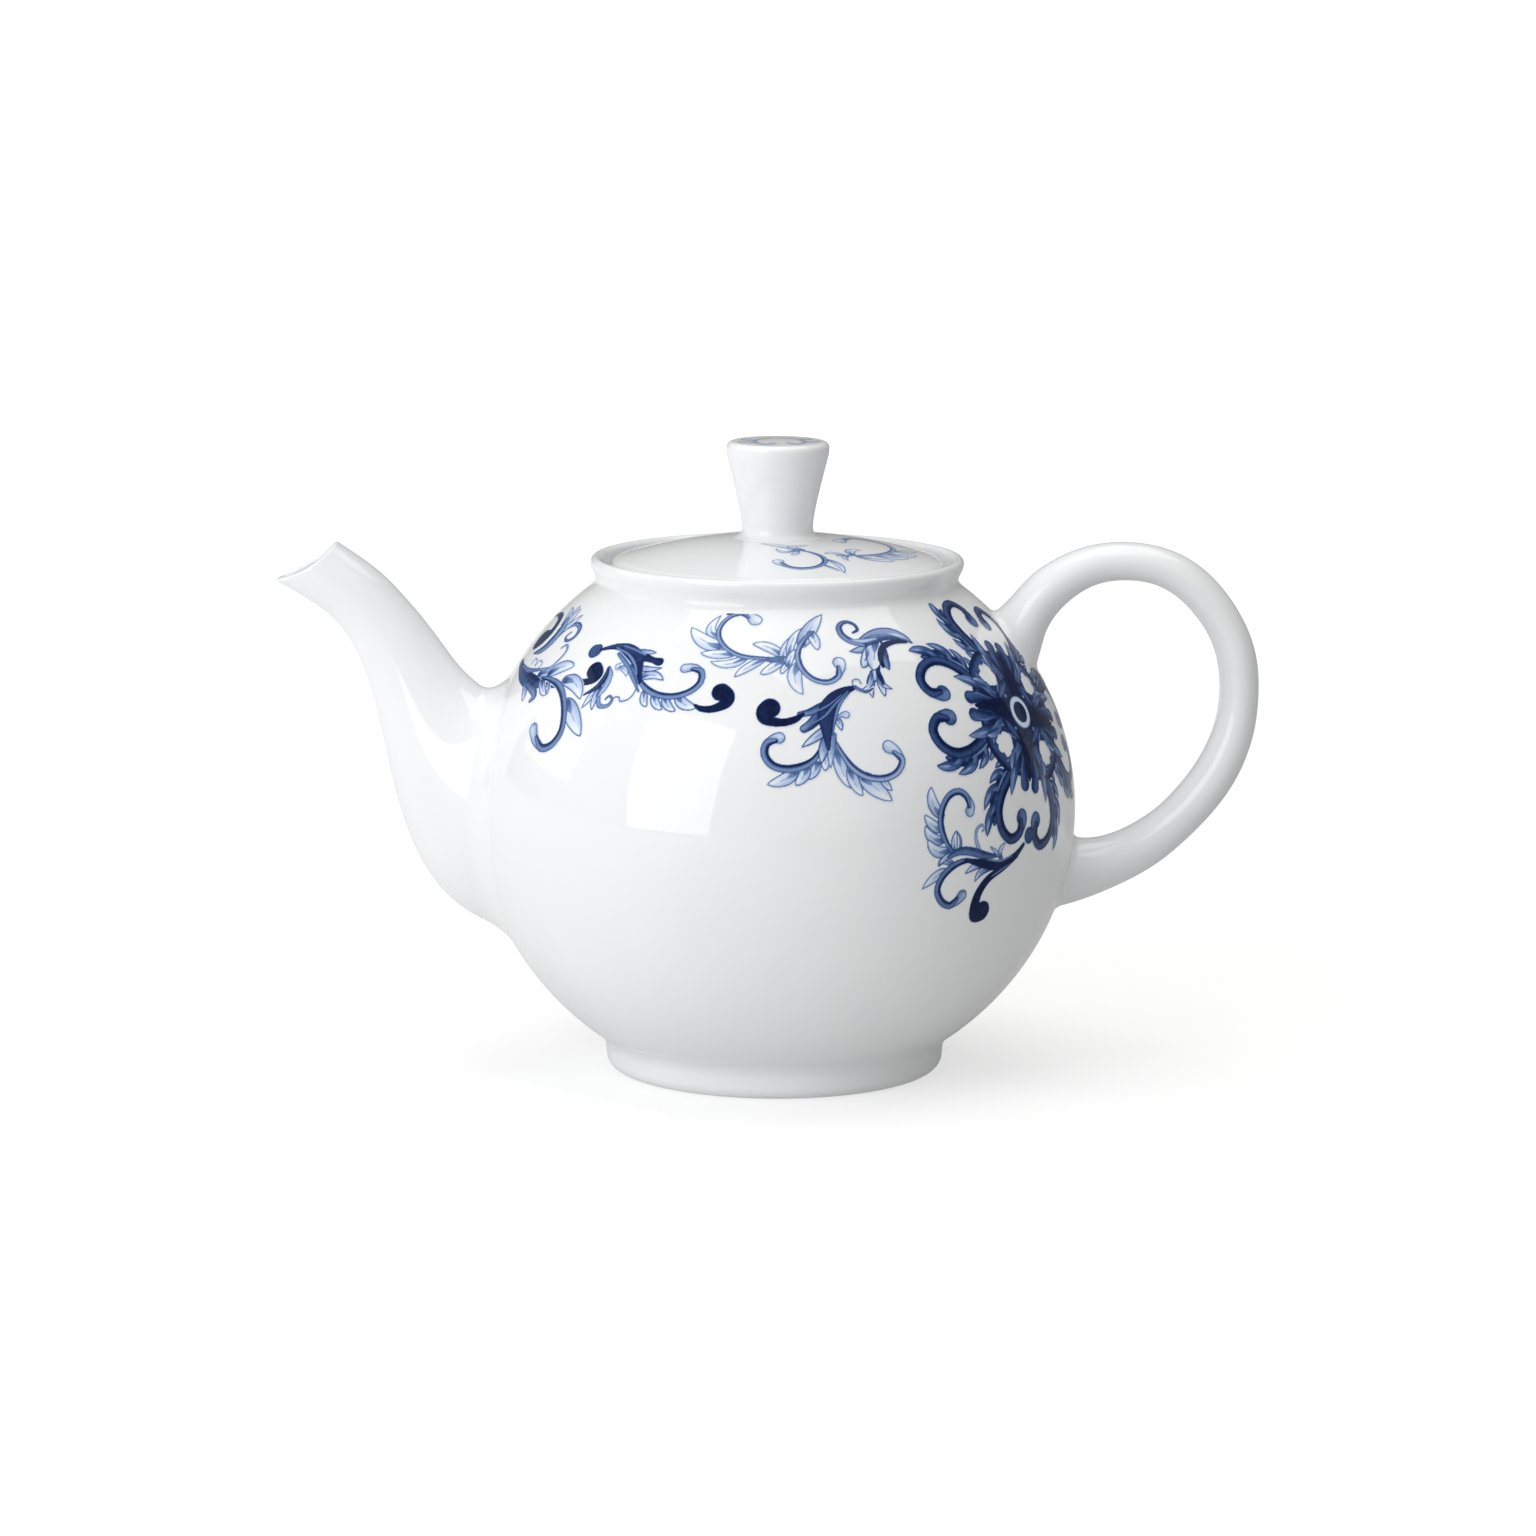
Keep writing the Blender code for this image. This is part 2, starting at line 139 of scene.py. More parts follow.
def makeBlock(size, middle):
    deselectAll()
    bpy.ops.mesh.primitive_cube_add(size=1)
    bpy.ops.transform.resize(value=[side * mm for side in size])
    bpy.ops.transform.translate(value=[place * mm for place in middle])
    bpy.ops.object.transform_apply(location=True, rotation=True, scale=True)
    return bpy.context.object


def wrapSheet(name, rings):  # a grid laid ring by ring; its last column meets its first
    rows, columns = rings.shape[:2]
    piece, across, along = makeGrid(name, columns, rows - 1)
    placePoints(piece, rings[along, across % columns])
    closeSurface(50)
    return piece


def cutAway(piece, cutter):  # takes the cutter out of the piece
    deselectAll()
    bpy.context.view_layer.objects.active = piece
    piece.select_set(True)
    cut = piece.modifiers.new("cut", "BOOLEAN")
    cut.object = cutter
    bpy.ops.object.modifier_apply(modifier=cut.name)
    bpy.data.objects.remove(cutter)
    bpy.ops.object.shade_smooth_by_angle(angle=math.radians(40))


# A smooth line near these points, with their other numbers carried along.
def fairLine(points, steps, passes):
    points = np.array(points, float)
    ends = np.vstack([2 * points[0] - points[1], points, 2 * points[-1] - points[-2]])
    found = []
    for i in range(len(points) - 1):
        a, b, c, d = ends[i : i + 4]
        for k in range(steps):
            t = k / steps
            pull = (2 * a - 5 * b + 4 * c - d) * t**2 + (3 * b - a - 3 * c + d) * t**3
            found.append(0.5 * (2 * b + (c - a) * t + pull))
    found = np.array(found + [points[-1]])
    for _ in range(passes):
        found[1:-1] += 0.5 * ((found[:-2] + found[2:]) / 2 - found[1:-1])
    return found


# The glazes.

class Wire:  # a shader socket that adds its own maths nodes
    def __init__(self, tree, socket):
        self.tree, self.socket = tree, socket

    def math(self, operation, other, swap=False):
        node = self.tree.nodes.new("ShaderNodeMath")
        node.operation = operation
        ends = (other, self) if swap else (self, other)
        for slot, end in zip(node.inputs, ends):
            if isinstance(end, Wire):
                self.tree.links.new(end.socket, slot)
            else:
                slot.default_value = end
        return Wire(self.tree, node.outputs[0])

    def __add__(self, other):
        return self.math("ADD", other)

    def __radd__(self, other):
        return self.math("ADD", other, True)

    def __sub__(self, other):
        return self.math("SUBTRACT", other)

    def __rsub__(self, other):
        return self.math("SUBTRACT", other, True)

    def __mul__(self, other):
        return self.math("MULTIPLY", other)

    def __rmul__(self, other):
        return self.math("MULTIPLY", other, True)

    def __gt__(self, other):
        return self.math("GREATER_THAN", other)

    def __lt__(self, other):
        return self.math("LESS_THAN", other)


class Glaze:  # a material and the one way its nodes are made
    def __init__(self, name):
        self.material = bpy.data.materials.new(name)
        self.material.use_nodes = True
        self.tree = self.material.node_tree
        self.shader = self.tree.nodes["Principled BSDF"]

    def add(self, kind, settings=None, values=None, out=0):
        node = self.tree.nodes.new("ShaderNode" + kind)
        for key, value in (settings or {}).items():
            if key == "stops":
                ramp = node.color_ramp
                while len(ramp.elements) < len(value):
                    ramp.elements.new(0.5)
                for stop, (place, colour) in zip(ramp.elements, value):
                    stop.position, stop.color = place, (*colour, 1)
            else:
                setattr(node, key, value)
        for key, value in (values or {}).items():
            self.feed(node.inputs[key], value)
        return Wire(self.tree, node.outputs[out])

    def feed(self, slot, value):
        if isinstance(value, Wire):
            self.tree.links.new(value.socket, slot)
        else:
            slot.default_value = value

    def finish(self, constants, varying):
        for key, value in constants.items():
            self.shader.inputs[key].default_value = value
        for key, wire in varying.items():
            self.tree.links.new(wire.socket, self.shader.inputs[key])
        return self.material


glazeLook = {
    "white": (0.852, 0.860, 0.868),
    "pooled": (0.815, 0.832, 0.845),  # where the glaze runs a little thicker
    "roughness": 0.045,
    "roughnessDrift": 0.025,
    "driftSize": 22.0,
    "speckSize": 900.0,
    "waveSize": 30.0,  # how many soft waves to a metre
    "waveHeight": 0.00004,
}


def glazeNodes(glaze):  # the glazed ground that every piece shares: its colour, roughness and surface
    place = glaze.add("TexCoord", out="Object")
    drift = glaze.add(
        "TexNoise", {}, {"Vector": place, "Scale": glazeLook["driftSize"], "Detail": 3.0, "Roughness": 0.45}
    )
    wave = glaze.add("TexNoise", {}, {"Vector": place, "Scale": glazeLook["waveSize"], "Detail": 1.0})
    speck = glaze.add("TexNoise", {}, {"Vector": place, "Scale": glazeLook["speckSize"], "Detail": 2.0})
    ground = glaze.add(
        "ValToRGB", {"stops": ((0.32, glazeLook["pooled"]), (0.62, glazeLook["white"]))}, {"Fac": drift}
    )
    roughness = drift * glazeLook["roughnessDrift"] + speck * 0.02 + (glazeLook["roughness"] - 0.03)
    normal = glaze.add("Bump", {}, {"Height": wave, "Strength": 0.25, "Distance": glazeLook["waveHeight"]})
    return place, ground, roughness, normal


def makePorcelain():
    glaze = Glaze("glazed porcelain")
    _, ground, roughness, normal = glazeNodes(glaze)
    return glaze.finish(
        {"IOR": 1.52, "Coat Weight": 0.0},
        {"Base Color": ground, "Roughness": roughness, "Normal": normal},
    )


def finishWith(piece, material):
    piece.data.materials.clear()
    piece.data.materials.append(material)


def putOn(piece, body, *nodes):  # rides a body of the frame and stands in for its nodes
    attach(piece, body)
    if nodes:
        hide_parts(*nodes)
    return piece


porcelain = makePorcelain()
print("glaze mixed")


# The thrown body.

body = {
    "radius": 75.0,
    "halfHeight": 70.8,
    "centreZ": 66.0,
    "wall": 3.6,
    "floorZ": 9.5,
    "bottomRadius": 36.5,  # the flat underneath, inside the foot
    "rootRadius": 41.0,  # where its curve rises out of the foot
    "topRadius": 47.5,  # where the collar's fillet covers its edge
    "mouthRadius": 43.9,  # the opening under the lid's seat
    "portRoom": 0.3,  # gap left round the strainer
}


def bodyHeight(r, upper=True):  # height of the body's curve at this radius
    rise = body["halfHeight"] * math.sqrt(1 - (r / body["radius"]) ** 2)
    return body["centreZ"] + (rise if upper else -rise)


def bodyCurve(rFrom, rTo, inset, count):  # the curve from a radius below the middle to one above it
    radius, half = body["radius"] - inset, body["halfHeight"] - inset
    start, end = -math.acos(rFrom / radius), math.acos(rTo / radius)
    turns = [start + (end - start) * i / count for i in range(count + 1)]
    return [(radius * math.cos(a), body["centreZ"] + half * math.sin(a)) for a in turns]


def makeBody():
    baseZ, floorZ = bodyLow[2], body["floorZ"]
    bottom, mouth = body["bottomRadius"], body["mouthRadius"]
    inner = body["wall"]
    drop = (body["centreZ"] - floorZ - 3) / (body["halfHeight"] - inner)
    floorR = (body["radius"] - inner) * math.sqrt(1 - drop**2)
    floorEdge = (floorR - 12, floorZ)
    outline = runPoints((0, baseZ), (bottom, baseZ), 6)
    outline += [(bottom, baseZ), (bottom + 3, 6.0)]
    outline += bodyCurve(body["rootRadius"], body["topRadius"], 0.0, 150)
    outline += [(45.5, 121.0), (mouth, 120.2)]
    outline += bodyCurve(floorR, mouth, inner, 90)[::-1]
    outline += easePoints(
        (floorR, floorZ + 3), (floorR - 4, floorZ + 0.6), (floorR - 7, floorZ), floorEdge, 8
    )[1:]
    outline += runPoints(floorEdge, (0, floorZ), 6)[1:] + [(0, floorZ)]
    piece = turnOnWheel("thrownBody", outline)
    cutAway(piece, makePort())
    finishWith(piece, porcelain)
    return putOn(piece, "pot", "body_shell")


def makePort():  # the opening for the spout, cut round the strainer
    deselectAll()
    bpy.ops.mesh.primitive_cylinder_add(vertices=96, radius=1, depth=1)
    port = bpy.context.object
    low, high = nodeBox("spout_strainer")
    around = pointsOf(port)
    middleZ = (low[2] + high[2]) / 2
    halfZ = (high[2] - low[2]) / 2 + body["portRoom"]
    halfY = (high[1] - low[1]) / 2 + body["portRoom"]
    points = np.stack([
        low[0] - 6 + (around[:, 2] + 0.5) * (high[0] - low[0] + 12),
        around[:, 1] * halfY,
        middleZ + around[:, 0] * halfZ,
    ], -1) * mm
    port.data.vertices.foreach_set("co", points.ravel())
    bpy.ops.object.mode_set(mode="EDIT")
    bpy.ops.mesh.select_all(action="SELECT")
    bpy.ops.mesh.normals_make_consistent(inside=False)
    return port


# The foot ring, with its bare standing face.

foot = {
    "taper": 0.2,
    "round": 3.3,
    "innerRound": 1.3,
    "width": 7.3,
    "filletFrom": 5.4,  # height where it starts to run out onto the body
    "filletTo": 44.7,  # radius where it meets the body
}


def makeFoot():
    radius = (footHigh[0] - footLow[0]) / 2
    inner = radius - foot["width"]
    roundR = radius - foot["taper"] - foot["round"]
    soft = foot["innerRound"]
    low, end = foot["filletFrom"], foot["filletTo"]
    topZ = bodyHeight(end, upper=False)
    outline = arcPoints(inner + soft, soft, soft, 180, 270, 8)
    outline += arcPoints(roundR, foot["round"], foot["round"], 270, 360, 16)
    outline += easePoints((radius, low), (radius, low + 1.3), (end - 0.95, topZ - 0.68), (end, topZ), 12)
    outline += [(end - 0.6, topZ + 0.9), (inner + 2.0, 7.4), (inner, 6.6)]
    piece = turnOnWheel("footRing", outline)
    finishWith(piece, makeFootGlaze(inner + soft, roundR))
    return putOn(piece, "pot", "foot_ring")


def makeFootGlaze(bareFrom, bareTo):  # glazed all over but for the wiped face that it stands on
    glaze = Glaze("wiped foot")
    place, ground, roughness, normal = glazeNodes(glaze)
    centred = glaze.add("Mapping", {}, {"Vector": place, "Location": (-axisX * mm, 0, 0)})
    x, y, z = [glaze.add("SeparateXYZ", {}, {"Vector": centred}, out=axis) for axis in "XYZ"]
    ragged = glaze.add("TexNoise", {}, {"Vector": place, "Scale": 260.0, "Detail": 3.0})
    fromAxis = (x * x + y * y).math("POWER", 0.5) + (ragged - 0.5) * (0.4 * mm)
    bare = (z < 0.12 * mm) * (fromAxis > bareFrom * mm) * (fromAxis < bareTo * mm)
    grit = glaze.add("TexNoise", {}, {"Vector": place, "Scale": 1800.0, "Detail": 4.0})
    clays = ((0.3, (0.60, 0.57, 0.51)), (0.7, (0.74, 0.71, 0.65)))
    biscuit = glaze.add("ValToRGB", {"stops": clays}, {"Fac": grit})
    colour = glaze.add("Mix", {"data_type": "RGBA"}, {0: bare, 6: ground, 7: biscuit}, out=2)
    return glaze.finish(
        {"IOR": 1.52},
        {"Base Color": colour, "Roughness": roughness + bare * (0.75 - roughness), "Normal": normal},
    )


# The neck collar and the seat inside it.

collar = {
    "waistRadius": 45.2,
    "waistZ": 123.8,
    "lipRound": 1.35,
    "filletTo": 49.4,  # where its fillet dies out on the body
    "cornerRadius": 46.3,  # where that fillet would turn, were it a sharp corner
    "innerFootZ": 119.2,
}


def makeCollar():
    lip = collar["lipRound"]
    lipR = (collarHigh[0] - collarLow[0]) / 2 - lip
    lipZ = collarHigh[2] - lip
    outer, inner = lipR + lip, lipR - lip
    waistR, waistZ = collar["waistRadius"], collar["waistZ"]
    end = (collar["filletTo"], bodyHeight(collar["filletTo"]))
    corner = (collar["cornerRadius"], bodyHeight(collar["cornerRadius"]) + 0.3)
    lean = tuple(0.35 * a + 0.65 * b for a, b in zip(end, corner))
    footZ = collar["innerFootZ"]
    outline = easePoints(end, lean, (waistR, waistZ - 1.6), (waistR, waistZ), 14)
    outline += easePoints(
        (waistR, waistZ), (waistR, waistZ + 1.6), (outer - 0.1, lipZ - 2.0), (outer, lipZ), 12
    )[1:]
    outline += arcPoints(lipR, lipZ, lip, 0, 180, 20)[1:]
    outline += runPoints((inner, lipZ), (inner, footZ), 1.2)[1:]
    outline += [(inner, footZ), (inner + 1.4, footZ + 0.2), (47.6, 119.8)]
    piece = turnOnWheel("neckCollar", outline)
    finishWith(piece, porcelain)
    return putOn(piece, "pot", "neck_collar")


seat = {
    "innerRadius": 38.0,
    "round": 0.7,
    "notchWidth": 11.0,  # the gap that the lid's tongue drops through
    "notchTo": 40.8,
    "notchHeight": 14.0,
}


def makeSeat():
    outer = (collarHigh[0] - collarLow[0]) / 2 - 2 * collar["lipRound"] + 0.4
    top, bottom = seatHigh[2], seatLow[2]
    inner, soft = seat["innerRadius"], seat["round"]
    outline = arcPoints(inner + soft, top - soft, soft, 180, 90, 6)
    outline += runPoints((inner + soft, top), (outer, top), 1.5)[1:] + [(outer, top), (outer, bottom - 2.4)]
    outline += arcPoints(inner + soft, bottom + soft, soft, 270, 180, 6)
    piece = turnOnWheel("lidSeat", outline)
    reach = seat["notchTo"] - inner
    cutAway(piece, makeBlock((seat["notchWidth"], 2 * reach, seat["notchHeight"]), (axisX, inner, top)))
    finishWith(piece, porcelain)
    return putOn(piece, "pot", "lid_seat")


# Spout and handle: hollow or solid lofts that run out onto the body in a fillet.

def onBody(points, inset=0.0):  # the same points moved onto the body's skin, or a skin inside it
    centre = np.array((0, 0, body["centreZ"]))
    reach = np.array((body["radius"], body["radius"], body["halfHeight"])) - inset
    away = points - centre
    return centre + away / np.sqrt(((away / reach) ** 2).sum(-1, keepdims=True))


def bodyNormal(points):
    reach = np.array((body["radius"], body["radius"], body["halfHeight"]))
    n = (points - (0, 0, body["centreZ"])) / reach**2
    return n / np.linalg.norm(n, axis=-1, keepdims=True)


def depthInBody(points, inset=0.0):
    reach = np.array((body["radius"], body["radius"], body["halfHeight"])) - inset
    return (((points - (0, 0, body["centreZ"])) / reach) ** 2).sum(-1) - 1


def unit(v):
    return v / np.linalg.norm(v, axis=-1, keepdims=True)


def trimAt(line, inset):  # the line up to where it enters the body, and the length of that stretch
    depth = depthInBody(line, inset)
    i = int(np.argmax(depth < 0))
    t = depth[i - 1] / (depth[i - 1] - depth[i])
    return np.vstack([line[:i], line[i - 1] + (line[i] - line[i - 1]) * t])


def resample(line, count, cutBack=0.0):  # evenly along its length, stopping cutBack short of its end
    steps = np.linalg.norm(np.diff(line, axis=0), axis=1)
    length = np.concatenate([[0], np.cumsum(steps)])
    at = np.linspace(0, length[-1] - cutBack, count)
    return np.stack([np.interp(at, length, line[:, k]) for k in range(3)], -1)


# rings run from the free end into the body. Each lengthwise line is cut where it enters the body and bent
# onto it in a fillet. reach gives how far the fillet spreads, for each point around the ring.
def flaredOnto(rings, count, reach, filletSteps=20):
    lines = [trimAt(rings[:, k], 0.0) for k in range(rings.shape[1])]
    entry = np.array([line[-1] for line in lines])
    heading = unit(np.array([line[-1] - line[-3] for line in lines]))
    around = unit(np.roll(entry, -1, 0) - np.roll(entry, 1, 0))
    skin = bodyNormal(entry)
    side = unit(np.cross(around, heading))
    middle = entry.mean(0)
    side *= np.sign(((entry - middle) * side).sum(-1, keepdims=True))
    spread = unit(side - (side * skin).sum(-1, keepdims=True) * skin)
    shaft = np.array([resample(line, count, cutBack=reach[k]) for k, line in enumerate(lines)])
    leave = unit(shaft[:, -1] - shaft[:, -2])
    land = onBody(entry + spread * reach[:, None] * 0.95)
    landSkin = bodyNormal(land)
    arrive = unit(spread - (spread * landSkin).sum(-1, keepdims=True) * landSkin)
    start = shaft[:, -1]
    b = start + leave * (0.58 * reach[:, None])
    c = land - arrive * (0.58 * reach[:, None] * 0.95)
    fillet = []
    for i in range(1, filletSteps + 1):
        t = (1 - math.cos(math.pi * i / filletSteps)) / 2  # closest together at both ends, so no edge shows
        leaving = (1 - t) ** 3 * start + 3 * t * (1 - t) ** 2 * b
        fillet.append(leaving + 3 * t * t * (1 - t) * c + t**3 * land)
    fillet[-1] = land + landSkin * 0.012
    tuck = onBody(land, 0.9)
    return np.concatenate([shaft.transpose(1, 0, 2), np.array(fillet), tuck[None]])


spout = {
    "sides": 96,
    "rows": 110,
    "rootWall": 3.4,
    "mouthWall": 1.5,
    "saddle": 1.3,  # how far the mouth dips at its two sides
    "beak": 0.3,  # how much narrower the mouth is at its front end
    "fillet": 6.0,
    # back x, back z, front x, front z, half width
    "sections": (
        (-57, 97, -57, 33, 22.5),
        (-66.5, 95, -67.5, 34.6, 21.8),
        (-72.4, 95.1, -77.6, 39, 19.8),
        (-75.4, 97.2, -86.1, 47.1, 17.2),
        (-78, 99.6, -92.3, 59.3, 14.8),
        (-80.6, 102.6, -96.3, 73.6, 12.6),
        (-84, 107.4, -99.2, 88, 10.7),
        (-88.4, 113.3, -102.3, 99.5, 9.4),
        (-93.6, 119.3, -106.4, 108, 8.6),
        (-99.5, 125.4, -112.4, 115.2, 8.1),
        (-109.1, 132, -124.6, 122.3, 7.7),
    ),
}


def spoutRings(inset):  # rings from the mouth down into the body: 0 for the outer skin, 1 for the bore
    line = fairLine(spout["sections"], 14, 60)[::-1]
    turns = np.arange(spout["sides"]) * math.tau / spout["sides"]
    share = np.arange(len(line)) / (len(line) - 1)
    mouth = np.clip(1 - np.arange(len(line)) / 18, 0, 1) ** 2
    wall = inset * (spout["mouthWall"] + (spout["rootWall"] - spout["mouthWall"]) * share)
    back = np.stack([line[:, 0], 0 * share, line[:, 1]], -1)
    front = np.stack([line[:, 2], 0 * share, line[:, 3]], -1)
    middle, reach = (back + front) / 2, (back - front) / 2
    length = np.linalg.norm(reach, axis=-1)
    across = reach / length[:, None] * (length - wall)[:, None]
    forward = unit(np.stack([-across[:, 2], 0 * share, across[:, 0]], -1))
    width = (line[:, 4] - wall)[:, None] * (1 - spout["beak"] * mouth[:, None] * (1 - np.cos(turns)) / 2)
    dip = -spout["saddle"] * mouth[:, None] * np.sin(turns) ** 2
    rings = middle[:, None] + across[:, None] * np.cos(turns)[None, :, None]
    rings = rings + np.stack([0 * width, width * np.sin(turns), 0 * width], -1)
    rings = rings + forward[:, None] * dip[..., None]
    return rings, forward


def makeSpout():
    outer, forward = spoutRings(0.0)
    inner, _ = spoutRings(1.0)
    reach = np.full(spout["sides"], spout["fillet"])
    skin = flaredOnto(outer, spout["rows"], reach)
    bore = np.stack([resample(trimAt(inner[:, k], 0.9), 60) for k in range(spout["sides"])], 1)
    lip = []
    for i in range(1, 8):  # the rounded edge of the mouth
        turn = math.pi * i / 8
        part = (1 - math.cos(turn)) / 2
        lip.append(outer[0] * (1 - part) + inner[0] * part + forward[0] * 0.55 * math.sin(turn))
    rings = np.concatenate([bore[::-1], np.array(lip)[::-1], skin, bore[-1][None]])
    piece = wrapSheet("spout", rings)
    finishWith(piece, porcelain)
    return putOn(piece, "pot", "spout")


handle = {
    "sides": 72,
    "rows": 100,
    "flatness": 1.25,  # width across the strap over its thickness
    "fillet": 1.9,
    # outer x, outer z, inner x, inner z, from the upper root round to the lower one
    "sections": (
        (50, 111.5, 63, 97), (56.6, 117.3, 65.7, 105), (60, 121.2, 66.7, 109.6), (63.5, 125, 68.7, 113.9),
        (67.8, 128.1, 72, 117.8), (73.9, 131.2, 76.4, 121.2), (80.3, 132.9, 81.4, 123.3),
        (86.3, 133.3, 86.7, 123.8), (92.7, 132.8, 91.7, 123.4), (99.1, 131, 96, 122),
        (105.5, 127.4, 100.4, 119.2), (111.6, 121.4, 104.3, 115.1), (116.8, 113.4, 108.1, 109.6),
        (119.9, 105, 110.2, 103.2), (120.6, 96.2, 110.9, 96.1), (119.9, 86.5, 110, 88.6),
        (117.1, 77.2, 107.5, 81.8), (113, 69.7, 104.2, 76), (108.3, 63.7, 100.3, 71),
        (102.9, 58.1, 95.9, 66.3), (96.4, 52.4, 90.4, 62.4), (88.9, 47.9, 84.6, 59.5),
        (80.6, 44.1, 79, 58.2), (73.6, 41.7, 74.3, 58.5), (64, 39, 66, 60),
    ),
}


def makeHandle():
    line = fairLine(handle["sections"], 14, 60)
    outer = np.stack([line[:, 0], 0 * line[:, 0], line[:, 1]], -1)
    inner = np.stack([line[:, 2], 0 * line[:, 2], line[:, 3]], -1)
    spine, half = (outer + inner) / 2, (outer - inner) / 2
    width = np.minimum(np.linalg.norm(half, axis=-1), 8.2) * handle["flatness"]
    turns = np.arange(handle["sides"]) * math.tau / handle["sides"]
    rings = spine[:, None] + half[:, None] * np.cos(turns)[None, :, None]
    rings = rings + (width[:, None] * np.sin(turns))[..., None] * np.array((0, 1, 0))
    top = int(np.argmax(line[:, 0]))
    reach = np.full(handle["sides"], handle["fillet"])
    upper = flaredOnto(rings[top::-1], handle["rows"], reach)
    lower = flaredOnto(rings[top:], handle["rows"], reach)
    ends = [np.repeat(part[-1].mean(0)[None], handle["sides"], 0)[None] for part in (upper, lower)]
    ends = [onBody(end, 2.0) for end in ends]
    piece = wrapSheet("handle", np.concatenate([ends[0], upper[::-1], lower[1:], ends[1]]))
    finishWith(piece, porcelain)
    return putOn(piece, "pot", "handle")


makeBody()
makeFoot()
makeCollar()
makeSeat()
makeSpout()
makeHandle()
print("pot shaped")


# The lid.

lid = {
    "rise": 6.3,
    "thickness": 3.6,
    "edgeRound": 1.2,
    "ventRadius": 1.6,
    "ventFromAxis": 20.0,
    "knobBore": 5.0,
    "flangeWall": 3.2,
    "flangeRound": 1.5,
    "tongueRoot": 0.8,  # how far the tongue reaches into the flange
}
lidRadius = (lidHigh[0] - lidLow[0]) / 2
lidEdgeZ = lidHigh[2] - lid["rise"] * (1 - (lid["knobBore"] / lidRadius) ** 2)


def lidHeight(r):
    return lidEdgeZ + lid["rise"] * (1 - (r / lidRadius) ** 2)


def makeLidPlate():
    underside = lidLow[2]
    edge = lid["edgeRound"]
    outline = [(r, lidHeight(r)) for r in np.linspace(lid["knobBore"], lidRadius - edge - 0.2, 30)]
    outline += arcPoints(lidRadius - edge, lidEdgeZ - edge + 0.1, edge, 76, 0, 10)
    outline += arcPoints(lidRadius - 0.8, underside + 0.8, 0.8, 0, -90, 6)
    outline += [(r, underside) for r in np.linspace(lidRadius - 2.5, 33.0, 8)]
    outline += [(r, lidHeight(r) - lid["thickness"]) for r in np.linspace(30.0, lid["knobBore"], 20)]
    piece = turnOnWheel("lidPlate", outline)
    deselectAll()
    bpy.ops.mesh.primitive_cylinder_add(
        vertices=48, radius=lid["ventRadius"] * mm, depth=20 * mm,
        location=(axisX * mm, lid["ventFromAxis"] * mm, lidEdgeZ * mm),
    )
    vent = bpy.context.object
    bpy.ops.object.transform_apply(location=True, rotation=True, scale=True)
    cutAway(piece, vent)
    finishWith(piece, porcelain)
    return putOn(piece, "lid", "lid_plate")


def makeFlange():
    soft = lid["flangeRound"]
    outer = (flangeHigh[0] - flangeLow[0]) / 2
    inner = outer - lid["flangeWall"]
    low, top = flangeLow[2] + soft, lidLow[2] + 0.6
    outline = runPoints((inner, top), (outer, top), 1.6) + runPoints((outer, top), (outer, low), 1.5)
    outline += arcPoints(outer - soft, low, soft, 0, -90, 8)
    outline += arcPoints(inner + soft, low, soft, -90, -180, 8)
    outline += runPoints((inner, low), (inner, top), 1.5)[1:]
    piece = turnOnWheel("lidFlange", outline)
    finishWith(piece, porcelain)
    return putOn(piece, "lid", "lid_flange")


def makeTongue():  # the small lug that keeps the lid in when the pot is tipped
    root = lid["tongueRoot"]
    middle = [(a + b) / 2 for a, b in zip(tongueLow, tongueHigh)]
    size = [b - a for a, b in zip(tongueLow, tongueHigh)]
    piece = makeBlock((size[0], size[1] + root, size[2]), (middle[0], middle[1] - root / 2, middle[2]))
    piece.name = piece.data.name = "lidTongue"
    bevel = piece.modifiers.new("softEdges", "BEVEL")
    bevel.width, bevel.segments = 0.9 * mm, 5
    bpy.ops.object.modifier_apply(modifier=bevel.name)
    closeSurface(60)
    finishWith(piece, porcelain)
    return putOn(piece, "lid", "lid_tongue")


knob = {
    "neckRadius": 8.85,
    "neckZ": 137.0,
    "topRadius": 12.8,
    "edgeRound": 1.6,
    "crown": 0.25,  # how far its top swells
    "bore": 5.0,
    "wall": 4.0,
    "filletTo": 11.2,  # where it runs out onto the lid
}


def makeKnob():
    topZ = knobHigh[2]
    roofZ = topZ - knob["wall"]
    edge = knob["edgeRound"]
    edgeR, edgeZ = knob["topRadius"] - edge, topZ - knob["crown"] - edge
    end, footZ = knob["filletTo"], lidHeight(knob["filletTo"])
    neck = (knob["neckRadius"], knob["neckZ"])
    outline = [(r, topZ - knob["crown"] * (r / edgeR) ** 2) for r in np.linspace(0, edgeR, 8)]
    outline += arcPoints(edgeR, edgeZ, edge, 85, 0, 14)
    side = (knob["topRadius"] - 0.15, edgeZ - 1.6)
    outline += easePoints(side, (11.6, 150.5), (9.0, 141.0), neck, 26)
    outline += easePoints(neck, (8.8, 135.2), (9.3, footZ + 0.62), (end, footZ + 0.01), 14)[1:]
    outline += [(end - 0.5, footZ - 1.2), (knob["bore"], footZ - 1.2), (knob["bore"], knob["neckZ"])]
    outline += [(7.0, roofZ - 1.5), (5.5, roofZ), (0, roofZ)]
    piece = turnOnWheel("lidKnob", outline, steps=192)
    finishWith(piece, porcelain)
    return putOn(piece, "lid", "lid_knob")


makeLidPlate()
makeFlange()
makeTongue()
makeKnob()
print("lid shaped")


# The cobalt print: each motif is painted on a flat sheet, then laid on the glaze.

